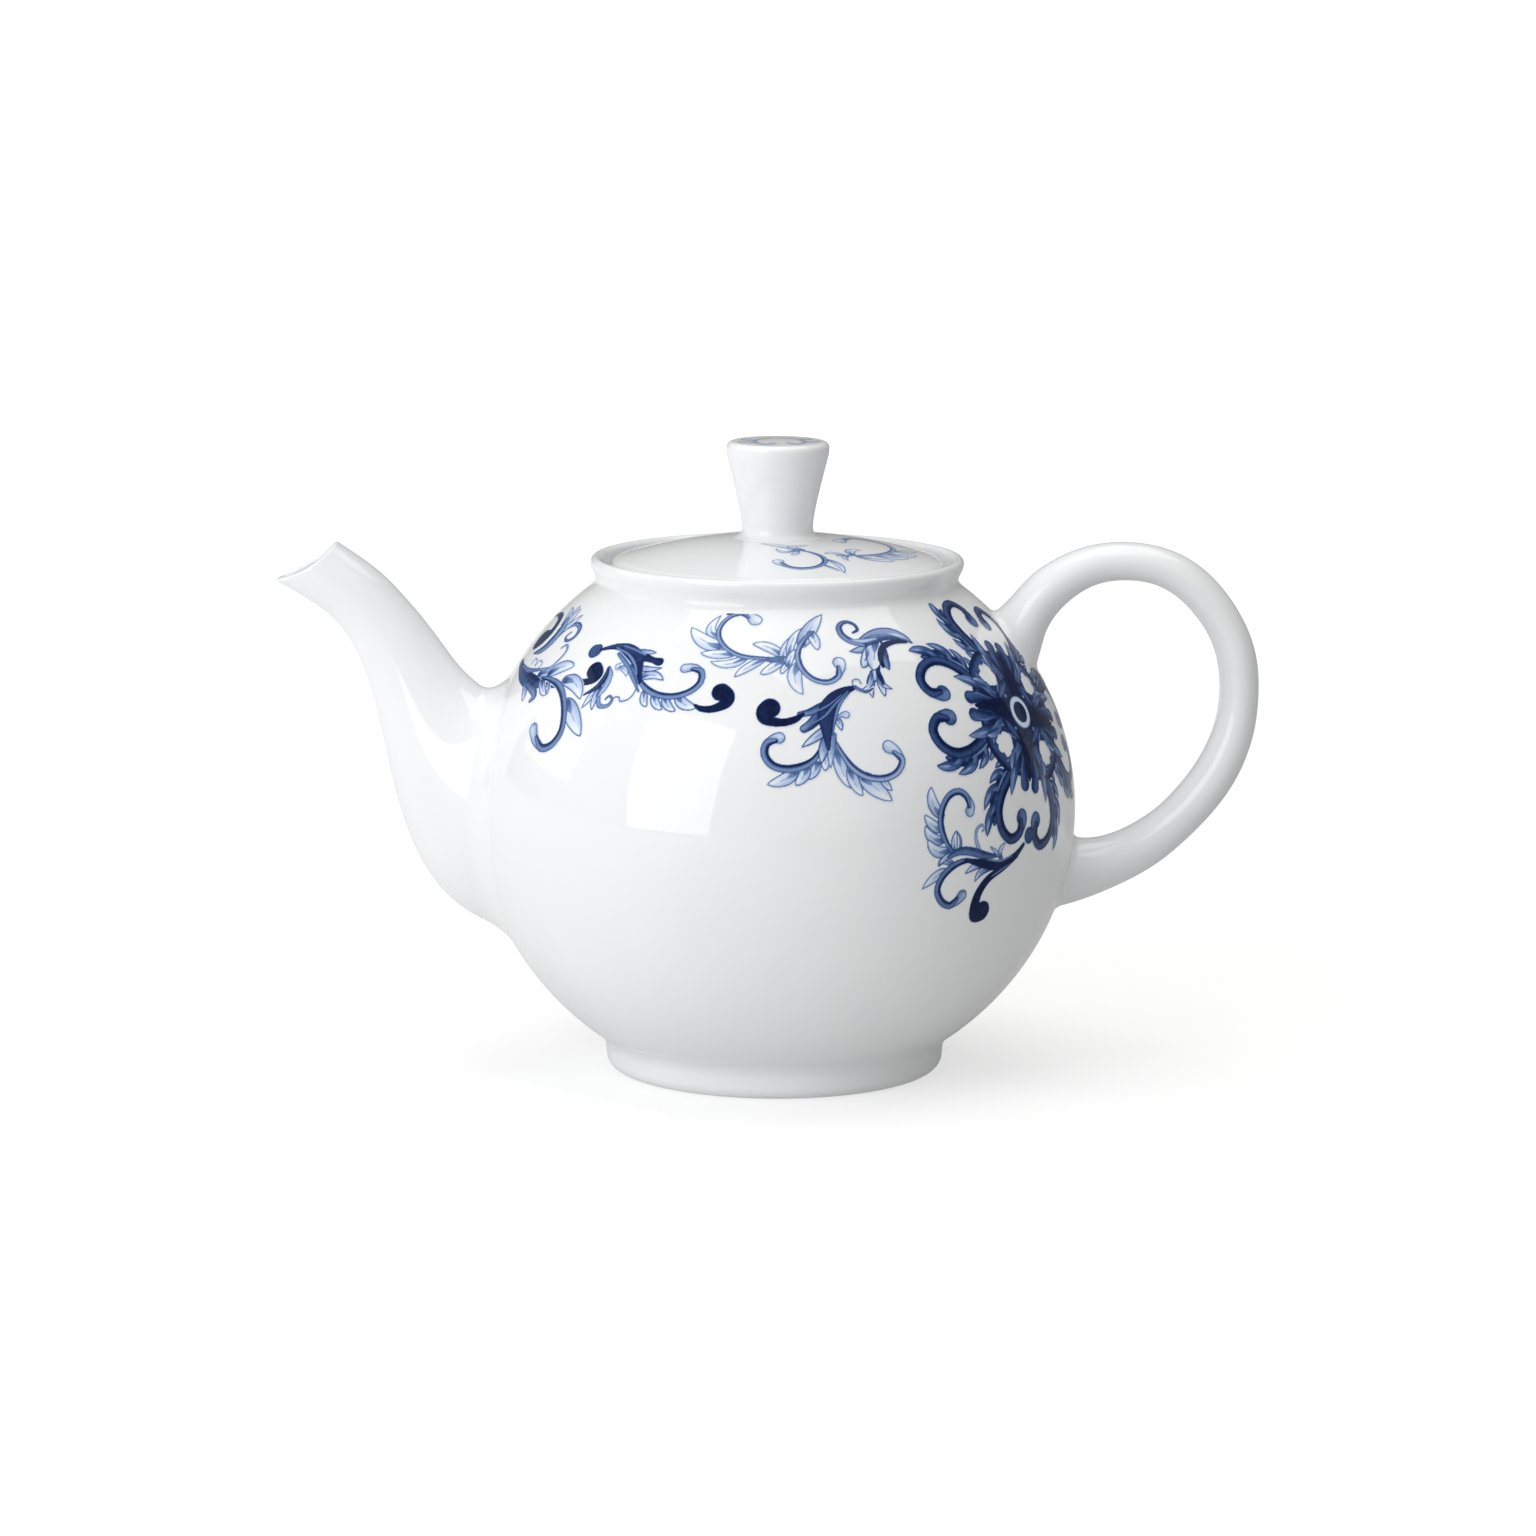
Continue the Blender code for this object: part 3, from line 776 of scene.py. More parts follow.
inkLook = {
    "pitch": 0.22,  # how finely a sheet is divided
    "soft": 0.16,  # how far an edge bleeds
    "rim": 0.34,  # width of the line round each stroke
    "finest": 0.02,  # half the width of the thinnest hair
}


def spread(value, count):  # one number, or a list of them
    return list(value) if isinstance(value, (tuple, list)) else [value] * count


class PrintSheet:  # ink on a flat sheet: 0 is bare glaze and 1 the darkest cobalt
    def __init__(self, width, height):
        columns, rows = round(width / inkLook["pitch"]), round(height / inkLook["pitch"])
        across = np.linspace(-width / 2, width / 2, columns + 1)
        up = np.linspace(-height / 2, height / 2, rows + 1)
        self.across, self.up = across, up
        self.ink = np.zeros((rows + 1, columns + 1))
        self.turn = 0.0
        self.flip = 1.0

    def stand(self, turn, flip=1.0):  # turns, in degrees, and mirrors what is painted next
        self.turn, self.flip = math.radians(turn), flip

    # A stroke along these points. fill is its ink from start to end, and shade is ink added towards its
    # left side, or its right side when it is below 0.
    def brush(self, points, widths, fill, rim=0.85, shade=0.0, rimWidth=None, fair=6):
        rimWidth = inkLook["rim"] if rimWidth is None else rimWidth
        finest = inkLook["finest"]
        widths = spread(widths, len(points))
        line = fairLine([(x, y, w) for (x, y), w in zip(points, widths)], fair, 2)
        cosTurn, sinTurn = math.cos(self.turn), math.sin(self.turn)
        x, y = line[:, 0] * self.flip, line[:, 1]
        half = np.maximum(line[:, 2], finest)
        line = np.stack([x * cosTurn - y * sinTurn, x * sinTurn + y * cosTurn, half], -1)
        reach = line[:, 2].max() + 1
        low, high = line[:, :2].min(0) - reach, line[:, :2].max(0) + reach
        left, right = np.searchsorted(self.across, (low[0], high[0]))
        bottom, top = np.searchsorted(self.up, (low[1], high[1]))
        if right <= left or top <= bottom:
            return
        gridX, gridY = np.meshgrid(self.across[left:right], self.up[bottom:top])
        start, step = line[:-1], line[1:] - line[:-1]
        run = step[:, :2]
        dx, dy = gridX[..., None] - start[:, 0], gridY[..., None] - start[:, 1]
        t = np.clip((dx * run[:, 0] + dy * run[:, 1]) / np.maximum((run**2).sum(1), 1e-9), 0, 1)
        gap = np.hypot(dx - t * run[:, 0], dy - t * run[:, 1])
        half = start[:, 2] + t * step[:, 2]
        depth = half - gap
        best = depth.argmax(-1)[..., None]

        def atBest(table):  # each point's value from the stretch of the line that covers it most
            return np.take_along_axis(table, best, -1)[..., 0]

        depth, half, gap = atBest(depth), atBest(half), atBest(gap)
        side = np.sign(atBest(run[:, 0] * dy - run[:, 1] * dx)) * self.flip
        along = (best[..., 0] + atBest(t)) / (len(line) - 1)
        lateral = side * np.clip(gap / np.maximum(half, finest), 0, 1)
        first, last = spread(fill, 2)
        tone = first + (last - first) * along
        lean = np.clip((lateral * (1 if shade > 0 else -1) + 0.15) / 0.7, 0, 1)
        tone = tone + abs(shade) * lean**1.4
        edge = np.clip(1 - depth / rimWidth * 0.75, 0, 1)
        tone = tone + np.maximum(rim - tone, 0) * edge**1.2
        cover = np.clip(depth / inkLook["soft"] + 0.6, 0, 1)
        patch = self.ink[bottom:top, left:right]
        patch[...] = patch * (1 - cover) + np.clip(tone, 0, 1) * cover

    # A pointed leaf from its base to its tip, fullest below the middle: a dark flame runs up from its base,
    # then comes a short vein or, where glint is given, a pale streak with that much ink.
    def leaf(self, start, bend, tip, width, fill=(0.45, 0.12), rim=0.75, shade=0.3, glint=None):
        base, middle, end = np.array(start, float), np.array(bend, float), np.array(tip, float)
        t = np.linspace(0, 1, 9)[:, None]
        points = (1 - t) ** 2 * base + 2 * t * (1 - t) * (2 * middle - (base + end) / 2) + t**2 * end
        points = [tuple(point) for point in points]
        t = t[:, 0]
        widths = 1.2 * width * np.clip(1.85 * (t + 0.16) ** 0.6 * (1 - t) ** 0.75, 0.02, 1)
        first, last = spread(fill, 2)
        line = min(rim * 1.35, 0.95)
        self.brush(points, list(widths), (0.7 * first, 0.12 * last), line, 0.4 * shade, 0.3, fair=3)
        flame = [0.5 * width, 0.4 * width, 0.25 * width, 0.05]
        self.brush(points[:4], flame, (0.75 * line, 0.3 * line), 0.6 * line, fair=3)
        if glint is None:
            self.brush(points[3:6], [0.06, 0.1, 0.05], 0.5 * line, 0.5 * line, fair=3)
        else:
            self.brush(points[4:8], [0.1, 0.26 * width, 0.24 * width, 0.06], glint, glint + 0.2, fair=3)

    def leaves(self, spots, **look):  # several leaves that look alike
        for spot in spots:
            self.leaf(*spot, **look)

    # A C-scroll: a tube that ends in a pale club. shade is above 0 when its hollow side is on the left.
    def scroll(self, points, width, bulb, fill=0.4, rim=0.72, shade=0.45, bulbFill=0.14):
        tube = list(points[:-1])
        widths = [width * (0.45 + 0.55 * min(1, i / 2)) for i in range(len(tube))]
        club = [width, (width + bulb) / 2, bulb]
        self.brush(points[-3:], club, (fill * 0.8, bulbFill), rim, 0.12 * np.sign(shade))
        (ax, ay), (bx, by) = tube[-2], tube[-1]
        run = math.hypot(bx - ax, by - ay) / (np.sign(shade) * 0.38 * bulb)
        tube[-1] = (bx - (by - ay) / run, by + (bx - ax) / run)
        widths[-1] = 0.62 * width
        self.brush(tube, widths, (fill, fill), rim, shade)

    def comma(self, points, widths, ink=0.97):  # a solid tadpole, its head first
        self.brush(points, widths, ink, ink, 0.0)


def paintTree(sheet):  # two C-scrolls hung from a dark plume
    sheet.leaves((
        ((-4.4, -6), (-5.4, -8), (-7.4, -9.5), 1.1), ((-7, -7), (-8, -9), (-10, -10.7), 1.3),
        ((-10, -7.8), (-12.6, -9.4), (-16.6, -10.2), 1.5), ((-2.6, -3), (-2.4, -5.4), (-2.6, -7.6), 1.2),
        ((0.6, -3.4), (1.6, -8), (3.6, -12), 1.5), ((3.6, -8), (4.6, -11), (6.4, -13.8), 1.4),
        ((7, -9.6), (9.6, -12), (13.8, -15.1), 2.0), ((11.6, -9.8), (12.4, -11.2), (13.8, -12.6), 0.9),
    ), fill=(0.28, 0.08), rim=0.6, shade=0.25)
    sheet.scroll(
        (
            (-2.4, -1), (-4.8, -4.6), (-8, -6.4), (-12, -6.8), (-15.2, -5.6), (-16.8, -2.8), (-16, -0.2),
            (-14.2, 0.8), (-13, 0.9),
        ),
        0.95, 1.45, fill=0.42, shade=-0.5, bulbFill=0.16,
    )
    sheet.scroll(
        (
            (0, 0), (2, -4), (4.5, -7.4), (8, -9.4), (12, -9.7), (15.4, -8.2), (16.9, -5.2), (15.4, -3),
            (13.6, -2),
        ),
        0.85, 1.65, fill=0.28, shade=0.5, bulbFill=0.1,
    )
    sheet.leaf((-0.4, 3), (-3.6, 1), (-7.9, -1.8), 1.15, (0.6, 0.15), 0.75)
    sheet.leaf((-0.6, 1), (-2.4, -2), (-3.4, -6), 1.3, (0.9, 0.3), 0.8)
    sheet.leaf((0.2, 1), (-0.8, -3.2), (-1.2, -7.2), 0.9, (0.7, 0.1), 0.5)
    sheet.leaf((1.2, 5), (1.8, 3.8), (2.2, 2), 0.8, (0.3, 0.2), 0.7)
    sheet.brush(((1, 5), (2.6, 6), (3.6, 6)), (0.3, 0.6, 1.0), (0.3, 0.15), 0.65)
    sheet.brush(
        ((0, 8.2), (-3, 5.8), (-5.2, 3.8), (-6.9, 2.8)), (1.0, 1.4, 1.2, 1.0), (0.8, 0.35), 0.9, 0.25,
    )
    sheet.brush(
        ((2, 10.4), (-2.4, 8.2), (-5.2, 6.9), (-7.6, 6.5)), (0.6, 1.0, 0.9, 0.7), (0.7, 0.35), 0.9, -0.15,
    )
    sheet.brush(
        ((6.8, 13.2), (3.6, 12), (0.8, 9.6), (-1.2, 6.4), (-1.5, 2.4), (-1.4, -2.4)),
        (0.5, 1.2, 2.0, 2.1, 1.3, 0.4),
        (0.9, 0.75), 0.95,
    )
    sheet.brush(((4.8, 12.1), (1.4, 9), (-1.6, 5.8), (-4.8, 4)), (0.12, 0.24, 0.22, 0.1), 0.45, 0.5)
    sheet.brush(((3, 11.2), (-1, 8.2), (-5.4, 6.6)), (0.1, 0.2, 0.15), 0.4, 0.5)
    sheet.brush(((5.4, 12), (2.6, 9.2), (1, 5.6), (-0.2, 1)), (0.15, 0.45, 0.4, 0.2), (0.35, 0.3), 0.8)
    sheet.brush(((7, 13), (9.4, 12), (11.4, 13)), (0.5, 0.4, 0.2), 0.45, 0.75)
    sheet.brush(
        ((9.8, 13.6), (8, 12.4), (6.4, 13.4), (6.3, 15), (7.8, 15.4), (8.4, 14.2)), 0.16, 0.45, 0.55,
    )
    sheet.comma(
        ((-14.6, 8.6), (-16.1, 7.8), (-15.9, 5.9), (-12.4, 4.7), (-9, 5.2), (-6.8, 6.5)),
        (2.5, 1.9, 1.5, 1.0, 0.85, 0.4)
    )


def paintDouble(sheet):  # a pale double scroll, and beside it a dark trumpet flower
    sheet.leaves((
        ((-19.6, 4.4), (-23.4, 7), (-26.2, 12), 1.9), ((-19.9, 8), (-21.4, 10.4), (-18.6, 14.4), 1.2),
        ((-16.8, 1.6), (-20.6, 2.2), (-24.3, 3.3), 1.3), ((-13.6, 0), (-17.8, -1.2), (-22, 0.3), 1.2),
        ((-9.4, -1), (-13.4, -3), (-16.4, -5), 1.1), ((-4.6, -1.4), (-7.6, -3.6), (-10.2, -4.9), 1.2),
        ((-3, -2), (-4.4, -3.8), (-5.2, -5.2), 0.8),
    ), fill=(0.12, 0.04), rim=0.56, shade=0.16)
    sheet.scroll(
        (
            (-4, -1), (-9, -0.6), (-14.4, 0.6), (-18, 3.6), (-19.6, 7.6), (-18.8, 11), (-16.3, 13.5),
            (-13.4, 14), (-11.6, 13), (-10.4, 11.4),
        ),
        0.62, 1.75, fill=0.3, rim=0.7, shade=-0.45, bulbFill=0.06,
    )
    sheet.brush(((-17, 14.4), (-14.6, 15.2), (-12.6, 15)), (0.3, 0.6, 0.4), 0.6, 0.75)
    sheet.leaf((-4.8, 0.2), (-8, 2.7), (-11.5, 3.9), 1.35, (0.12, 0.04), 0.6, 0.15)
    sheet.leaves((
        ((-4.6, -2), (-3.6, 2.4), (-0.4, 6.6), 1.0), ((-3, 0), (-1.8, 4.4), (0.6, 8), 1.0),
        ((-3.4, -2.8), (-2.6, -0.6), (-1.4, 1.6), 0.9), ((-1.2, -3.4), (-2, -7), (-0.3, -10.9), 1.7),
    ), fill=(0.16, 0.05), rim=0.54, shade=0.14)
    sheet.leaf((0.4, 3.4), (2.6, 7.6), (6, 12.7), 1.8, (0.35, 0.1), 0.6, 0.3)
    sheet.leaf((2.7, 6.4), (3.6, 4), (4, 1.4), 1.25, (0.15, 0.05), 0.6, 0.2)
    sheet.scroll(
        (
            (3.4, 7), (0.8, 4.2), (-0.9, 0.4), (-0.3, -3.8), (2.4, -6.9), (6, -7.6), (8.6, -5.8),
            (9.3, -3.4), (9, -2.1),
        ),
        0.72, 1.65, fill=0.3, rim=0.7, shade=0.45, bulbFill=0.06,
    )
    sheet.brush(((-8.6, -1.1), (-6.4, -1.2), (-4.2, -0.6)), (0.4, 0.9, 0.4), 0.55, 0.65)
    # the flower
    sheet.leaves((
        ((17.6, -4), (16.4, -7.6), (16.8, -11), 1.0), ((18.4, -4), (19.2, -7.4), (19.9, -10.3), 1.0),
        ((18.6, -3.4), (19.4, -6.8), (22, -8), 0.7), ((17, -4), (16.2, -7.4), (14.6, -9.3), 0.7),
    ), fill=(0.4, 0.1), rim=0.8, shade=0.25)
    sheet.brush(((18.2, 1), (17.8, -3), (17.6, -6)), (0.9, 0.9, 0.5), (0.25, 0.15), 0.8)
    sheet.brush(((18.9, -1.6), (18.6, -4.4), (19.6, -7)), (0.4, 0.55, 0.3), 0.8, 0.85)
    sheet.leaf((18.6, 4.6), (15.8, 2.6), (11.8, 1.4), 1.2, (0.4, 2.0), 0.8, 0.4)
    sheet.leaf((18.8, 4.6), (16.6, 0.6), (14.7, -3.1), 1.7, (0.1, 1.0), 0.8, 0.5)
    sheet.leaf((20, 4.6), (20.4, 0.8), (21.6, -2.8), 1.3, (0.9, 2.6), 0.8, 0.5)
    sheet.leaf((18.6, 5), (18, 0.6), (17.4, -3.4), 2.1, (0.1, 0.4), 0.8, -0.3)
    sheet.brush(((16.6, 2.4), (16.3, 0.6), (15.4, -1)), (0.1, 0.2, 0.08), 0.6, 0.6)
    sheet.leaf((15.4, 4.4), (22.4, 8.4), (28.8, 6.7), 1.85, (0.5, 2.8), 0.8, -0.8, 0.1)
    sheet.brush(
        ((27, 6.6), (23.4, 5.9), (20.6, 3.9), (19.6, 0.6), (20, -2)), (0.3, 0.7, 0.85, 0.75, 0.4), 0.88,
        0.92,
    )
    sheet.brush(
        (
            (13.3, 7.3), (14.5, 8.4), (13.6, 10.2), (11.5, 10.6), (9.9, 9), (10.3, 6.4), (12.4, 4.6),
            (15.6, 3.8),
        ),
        (0.3, 0.4, 0.45, 0.55, 0.7, 0.85, 0.9, 0.7), (0.55, 0.35), 0.85, 0.35,
    )
    sheet.brush(((12.4, 4.9), (15.4, 4.9), (19, 6.2)), (0.3, 0.7, 0.4), 0.2, 0.6)


def paintPlume(sheet):  # a dark plume that runs out into a C-scroll, between tadpoles
    sheet.brush(((-22.8, 10), (-22.6, 10.1)), 2.05, 0.66, 0.88)
    sheet.leaves((
        ((-3.2, -1.4), (-2.9, -3.8), (-1.6, -5.3), 1.0), ((-0.4, -2.4), (0.6, -4.4), (2.6, -5.8), 1.1),
        ((2.6, -2.6), (3.8, -4.6), (6.2, -5.7), 1.1), ((6, -2), (8, -3.8), (11.4, -4), 1.4),
    ), fill=(0.3, 0.06), rim=0.68, shade=0.2)
    sheet.leaf((-5.6, 2), (-2.4, 3.1), (0.8, 1.8), 1.15, (0.35, 0.08), 0.7)
    sheet.leaf((-9, 5.6), (-5, 4.6), (-0.6, 5.2), 0.8, (0.5, 0.3), 0.75)
    sheet.brush(((-7, 8), (-4, 7.2), (-2, 6.8)), (1.3, 0.8, 1.15), (0.85, 0.8), 0.9, 0.1)
    sheet.leaf((-10, 9.4), (-6.6, 9.4), (-3.7, 9.3), 0.75, (0.6, 0.35), 0.8)
    sheet.scroll(
        (
            (-9, 5), (-6.2, 1.8), (-2.8, -0.9), (1, -2.2), (5, -2), (8.6, -0.2), (10.4, 2.6), (9.7, 5.4),
            (7.6, 6.2), (5.4, 5.7),
        ),
        0.85, 1.3, fill=0.4, rim=0.72, shade=0.45, bulbFill=0.14,
    )
    sheet.brush(
        ((-14.6, 8.8), (-10.6, 5.4), (-7.6, 1.8), (-5, -1.6)), (0.5, 0.7, 0.6, 0.25), (0.45, 0.35), 0.7,
        0.2,
    )
    sheet.brush(
        ((-21, 10.3), (-15.4, 11), (-11.4, 9.6), (-8.6, 7.4), (-6.8, 4.2), (-5.4, 0.8)),
        (0.35, 1.0, 1.8, 1.8, 1.0, 0.3),
        (0.72, 0.86), 0.92, -0.15,
    )
    sheet.brush(((-16, 10.6), (-11.6, 8.6), (-8.6, 5.8), (-7, 3)), (0.2, 0.35, 0.4, 0.2), 0.42, 0.5)
    sheet.brush(((-14, 11.2), (-9.8, 9.9), (-6.4, 8.4)), (0.15, 0.28, 0.15), 0.45, 0.5)
    sheet.comma(
        ((16.2, 0.7), (17.9, 0), (18, -1.9), (15.2, -3.9), (12.4, -4.3), (10.6, -3.6)),
        (2.35, 1.8, 1.4, 0.95, 0.75, 0.3),
    )
    sheet.comma(
        ((-20.3, 4.1), (-18.9, 2.9), (-19.8, 1.4), (-22.8, 0.9), (-26, 1.7)), (2.4, 1.7, 1.1, 0.9, 0.6),
    )
    # the small sprig between them
    sheet.leaf((-17, -0.6), (-18.6, -3), (-20.8, -6.2), 1.0, (0.35, 0.1), 0.78)
    sheet.leaf((-16.6, -1), (-17.4, -4), (-17.3, -6.8), 0.9, (0.3, 0.1), 0.75)
    sheet.brush(
        ((-16.4, -2.8), (-15.4, -5.6), (-12.8, -5.6), (-11.9, -4), (-13, -3), (-13.9, -3.9)),
        (0.6, 0.65, 0.5, 0.4, 0.3, 0.25), (0.35, 0.45), 0.72,
    )
    sheet.brush(
        ((-12, -4.4), (-11.2, -3.3), (-10, -3.4), (-9.4, -4.4), (-7, -3.6), (-5.9, -1.2), (-6, 1)), 0.2,
        0.4, 0.55,
    )
    sheet.brush(
        ((-15.9, 5.1), (-14.8, 2.6), (-15.2, -0.6), (-16.4, -3)), (0.2, 0.9, 0.9, 0.4), (0.35, 0.2), 0.7,
        -0.1,
    )
    sheet.brush(
        ((-16.2, 4.9), (-16.1, 2.4), (-17.6, -0.6), (-21.2, -2.6)), (0.2, 0.75, 0.75, 0.25), 0.7, 0.85,
        0.2,
    )
    sheet.leaf((-12.6, 4.8), (-10.8, 4), (-9.8, 2.2), 0.75, (0.2, 0.15), 0.5)
    sheet.brush(((-11.6, 4.4), (-13.4, 4.2), (-14, 5.4), (-12.8, 6)), 0.3, 0.2, 0.42)


def paintLow(sheet):  # the pair of scrolls under the medallion
    sheet.leaves((
        ((-6.4, 9.6), (-8.4, 12.6), (-8.3, 16.5), 1.5), ((-6.8, 6.2), (-9, 7.4), (-11, 10), 1.3),
        ((-6.4, 3.4), (-9.4, 4.4), (-10.9, 7.4), 1.3), ((-4.8, 0.6), (-8.2, 1), (-10.4, 4), 1.4),
        ((-3.4, -2.6), (-6, -1.6), (-7.4, -3), 0.9), ((-5.2, -4.6), (-8, -5.4), (-11.7, -8.2), 1.25),
        ((-2.8, -0.4), (-5.4, -1), (-7.3, -2.8), 0.7),
    ), fill=(0.35, 0.1), rim=0.62, shade=0.25)
    sheet.leaf((-2.6, 0.4), (-2.8, 2.8), (-2, 5.4), 0.9, (0.2, 0.12), 0.75)
    sheet.leaf((-1.6, 0.2), (-0.8, 2.6), (-2, 5.2), 0.35, 0.2, 0.7)
    sheet.scroll(
        (
            (-2.4, -0.6), (-4.9, 2.4), (-6.5, 6.4), (-6.1, 10.4), (-3.8, 13.7), (-0.6, 14.7), (1.8, 13.2),
            (2.9, 11), (2.4, 9.6),
        ),
        0.85, 1.45, fill=0.42, rim=0.72, shade=-0.45, bulbFill=0.2,
    )
    sheet.brush(
        ((4.8, 0.2), (3.9, 2.6), (4.3, 5), (6, 5.8), (6.9, 4.9), (6, 4.3)),
        (0.6, 0.5, 0.45, 0.4, 0.3, 0.2), 0.25, 0.6,
    )
    sheet.scroll(
        (
            (5, -3.2), (1, -2.3), (-3, -3.2), (-6.2, -5.8), (-7.3, -9), (-5.6, -12), (-3, -13.2),
            (-0.9, -12.2), (0.3, -11),
        ),
        0.9, 1.5, fill=0.5, rim=0.78, shade=0.42, bulbFill=0.28,
    )
    sheet.brush(
        ((-4.4, -0.9), (-1, 0.2), (3, -0.4), (7, -1.8), (11, -2.4)), (0.5, 1.0, 1.1, 1.0, 0.4),
        (0.5, 0.6), 0.75, 0.2,
    )
    sheet.leaf((8.4, -3.6), (4.6, -3.8), (0.6, -5.6), 1.05, (0.75, 0.25), 0.8)
    sheet.leaf((9.4, -5), (6, -5.6), (4, -8), 1.0, (0.8, 0.3), 0.82)
    sheet.leaf((13, -3.4), (11.2, -1.8), (8.6, 0.3), 0.6, (0.3, 0.08), 0.6)
    sheet.leaf((12.4, -2.6), (12.4, -1), (14.2, 0.6), 0.7, (0.2, 0.1), 0.6)
    sheet.brush(
        ((21.5, -1), (18, -3.4), (13.4, -4.8), (9, -4.4), (4.6, -3.2), (0.6, -2.2)),
        (0.5, 0.9, 1.3, 1.2, 0.9, 0.3), 0.92, 0.95,
    )
    sheet.brush(((16.8, -3.2), (12.4, -3.8), (8, -2.9)), (0.15, 0.3, 0.2), 0.45, 0.5)
    sheet.comma(
        ((7.6, -16.1), (5.8, -16.6), (5, -14.2), (5.8, -10.8), (8.8, -7.6), (14, -5.6), (19, -3.6)),
        (2.7, 2.0, 1.5, 1.2, 1.0, 0.8, 0.3),
    )
    sheet.brush(((9.6, -7.4), (12.8, -6.2), (16.4, -5)), (0.15, 0.3, 0.15), 0.45, 0.6)


def paintSpoutScroll(sheet):  # the scroll that hangs beside the spout
    sheet.leaves((
        ((-8, 8.6), (-3.8, 11), (0.4, 11.8), 1.7), ((0.2, 7.6), (4.9, 7.2), (8.9, 3.8), 1.9),
        ((5, 2), (9, -0.9), (13.7, -4.9), 2.3),
    ), fill=(0.3, 0.1), rim=0.72, shade=0.3)
    sheet.leaf((-9.6, 6.2), (-7.4, 3.9), (-5, 3), 1.1, (0.3, 0.1), 0.75)
    sheet.leaf((-5.8, 5.8), (-5, 4.2), (-4.9, 3), 0.5, 0.3, 0.6)
    sheet.scroll(
        (
            (-11, 7.2), (-6, 7), (-1.4, 6), (2.6, 3.2), (5.6, -1), (6.6, -5.2), (4.6, -8.8), (1, -10),
            (-2.4, -8.4), (-4.6, -6),
        ),
        1.0, 1.6, fill=0.45, rim=0.78, shade=-0.45, bulbFill=0.18,
    )


def paintSpoutRosette(sheet):  # the grazing end of the band, over the spout's root
    sheet.brush(
        ((-11, -7.6), (-5, -9.3), (1, -10.4), (8, -10.6), (14, -9.2), (20, -8)),
        (0.8, 1.3, 2.0, 2.0, 1.4, 0.8), (0.6, 0.75), 0.8, 0.2,
    )
    sheet.leaf((10, -8), (15, -5.4), (21.5, -2), 1.5, (0.4, 0.1), 0.72)
    sheet.leaf((12, -9), (15.4, -10), (18.5, -11.4), 1.0, (0.3, 0.08), 0.75)
    sheet.leaf((4, -11), (7, -13.4), (8.5, -15.7), 1.2, (0.7, 0.25), 0.8)
    sheet.brush(
        ((6, -11.4), (10.8, -12), (13.6, -13), (12.6, -14.6)), (1.0, 1.2, 0.9, 0.6), (0.6, 0.35), 0.8,
        0.2,
    )
    sheet.brush(((12, -5.6), (7, -7.4), (1, -8.7), (-5, -8.4)), (0.3, 0.5, 0.7, 0.5), 0.5, 0.7)
    sheet.brush(
        ((0.6, -7), (1.2, -5.2), (3.4, -5.6), (4, -7), (5, -5), (7.4, -5.4), (6.8, -7)), 0.22, 0.25, 0.5,
    )
    sheet.brush(
        ((9.6, 5), (8.9, 3.4), (10.8, 2.5), (12.9, 4.4), (11.8, 7), (8.4, 7.5), (5.6, 5.2), (4.6, 2)),
        (0.25, 0.35, 0.45, 0.6, 0.7, 0.7, 0.7, 0.6), (0.45, 0.4), 0.75, -0.25,
    )
    sheet.brush(
        ((11.2, 0.4), (12.6, 1.8), (14.6, 0.4), (14, -3), (12.4, -5.6), (8.6, -6.8)),
        (0.3, 0.4, 0.4, 0.4, 0.45, 0.4), 0.3, 0.6,
    )
    sheet.leaves((
        ((2, 4), (2.8, 7.6), (2.2, 11.4), 1.3), ((3.4, 3.4), (5.6, 6.8), (6.9, 10.3), 1.2),
        ((1, 5.6), (-1, 8.4), (-4.6, 10.6), 1.0),
        ((1.6, 5.4), (0.6, 9), (0.4, 12), 0.9),
    ), fill=(0.3, 0.35), rim=0.78, shade=0.25)
    sheet.brush(
        ((-3, -4.4), (1.4, -2.4), (3.2, 0.8), (3, 4.4), (0.6, 7.4)), (0.3, 1.3, 1.9, 1.6, 0.5),
        (0.5, 0.3), 0.78, 0.35,
    )
    sheet.comma(
        ((-6.2, -0.6), (-3.8, 0.4), (-2.6, 3), (-5, 6.4), (-9.6, 7.4), (-15, 6.6)),
        (3.1, 2.3, 1.5, 1.1, 0.8, 0.4), 0.85,
    )


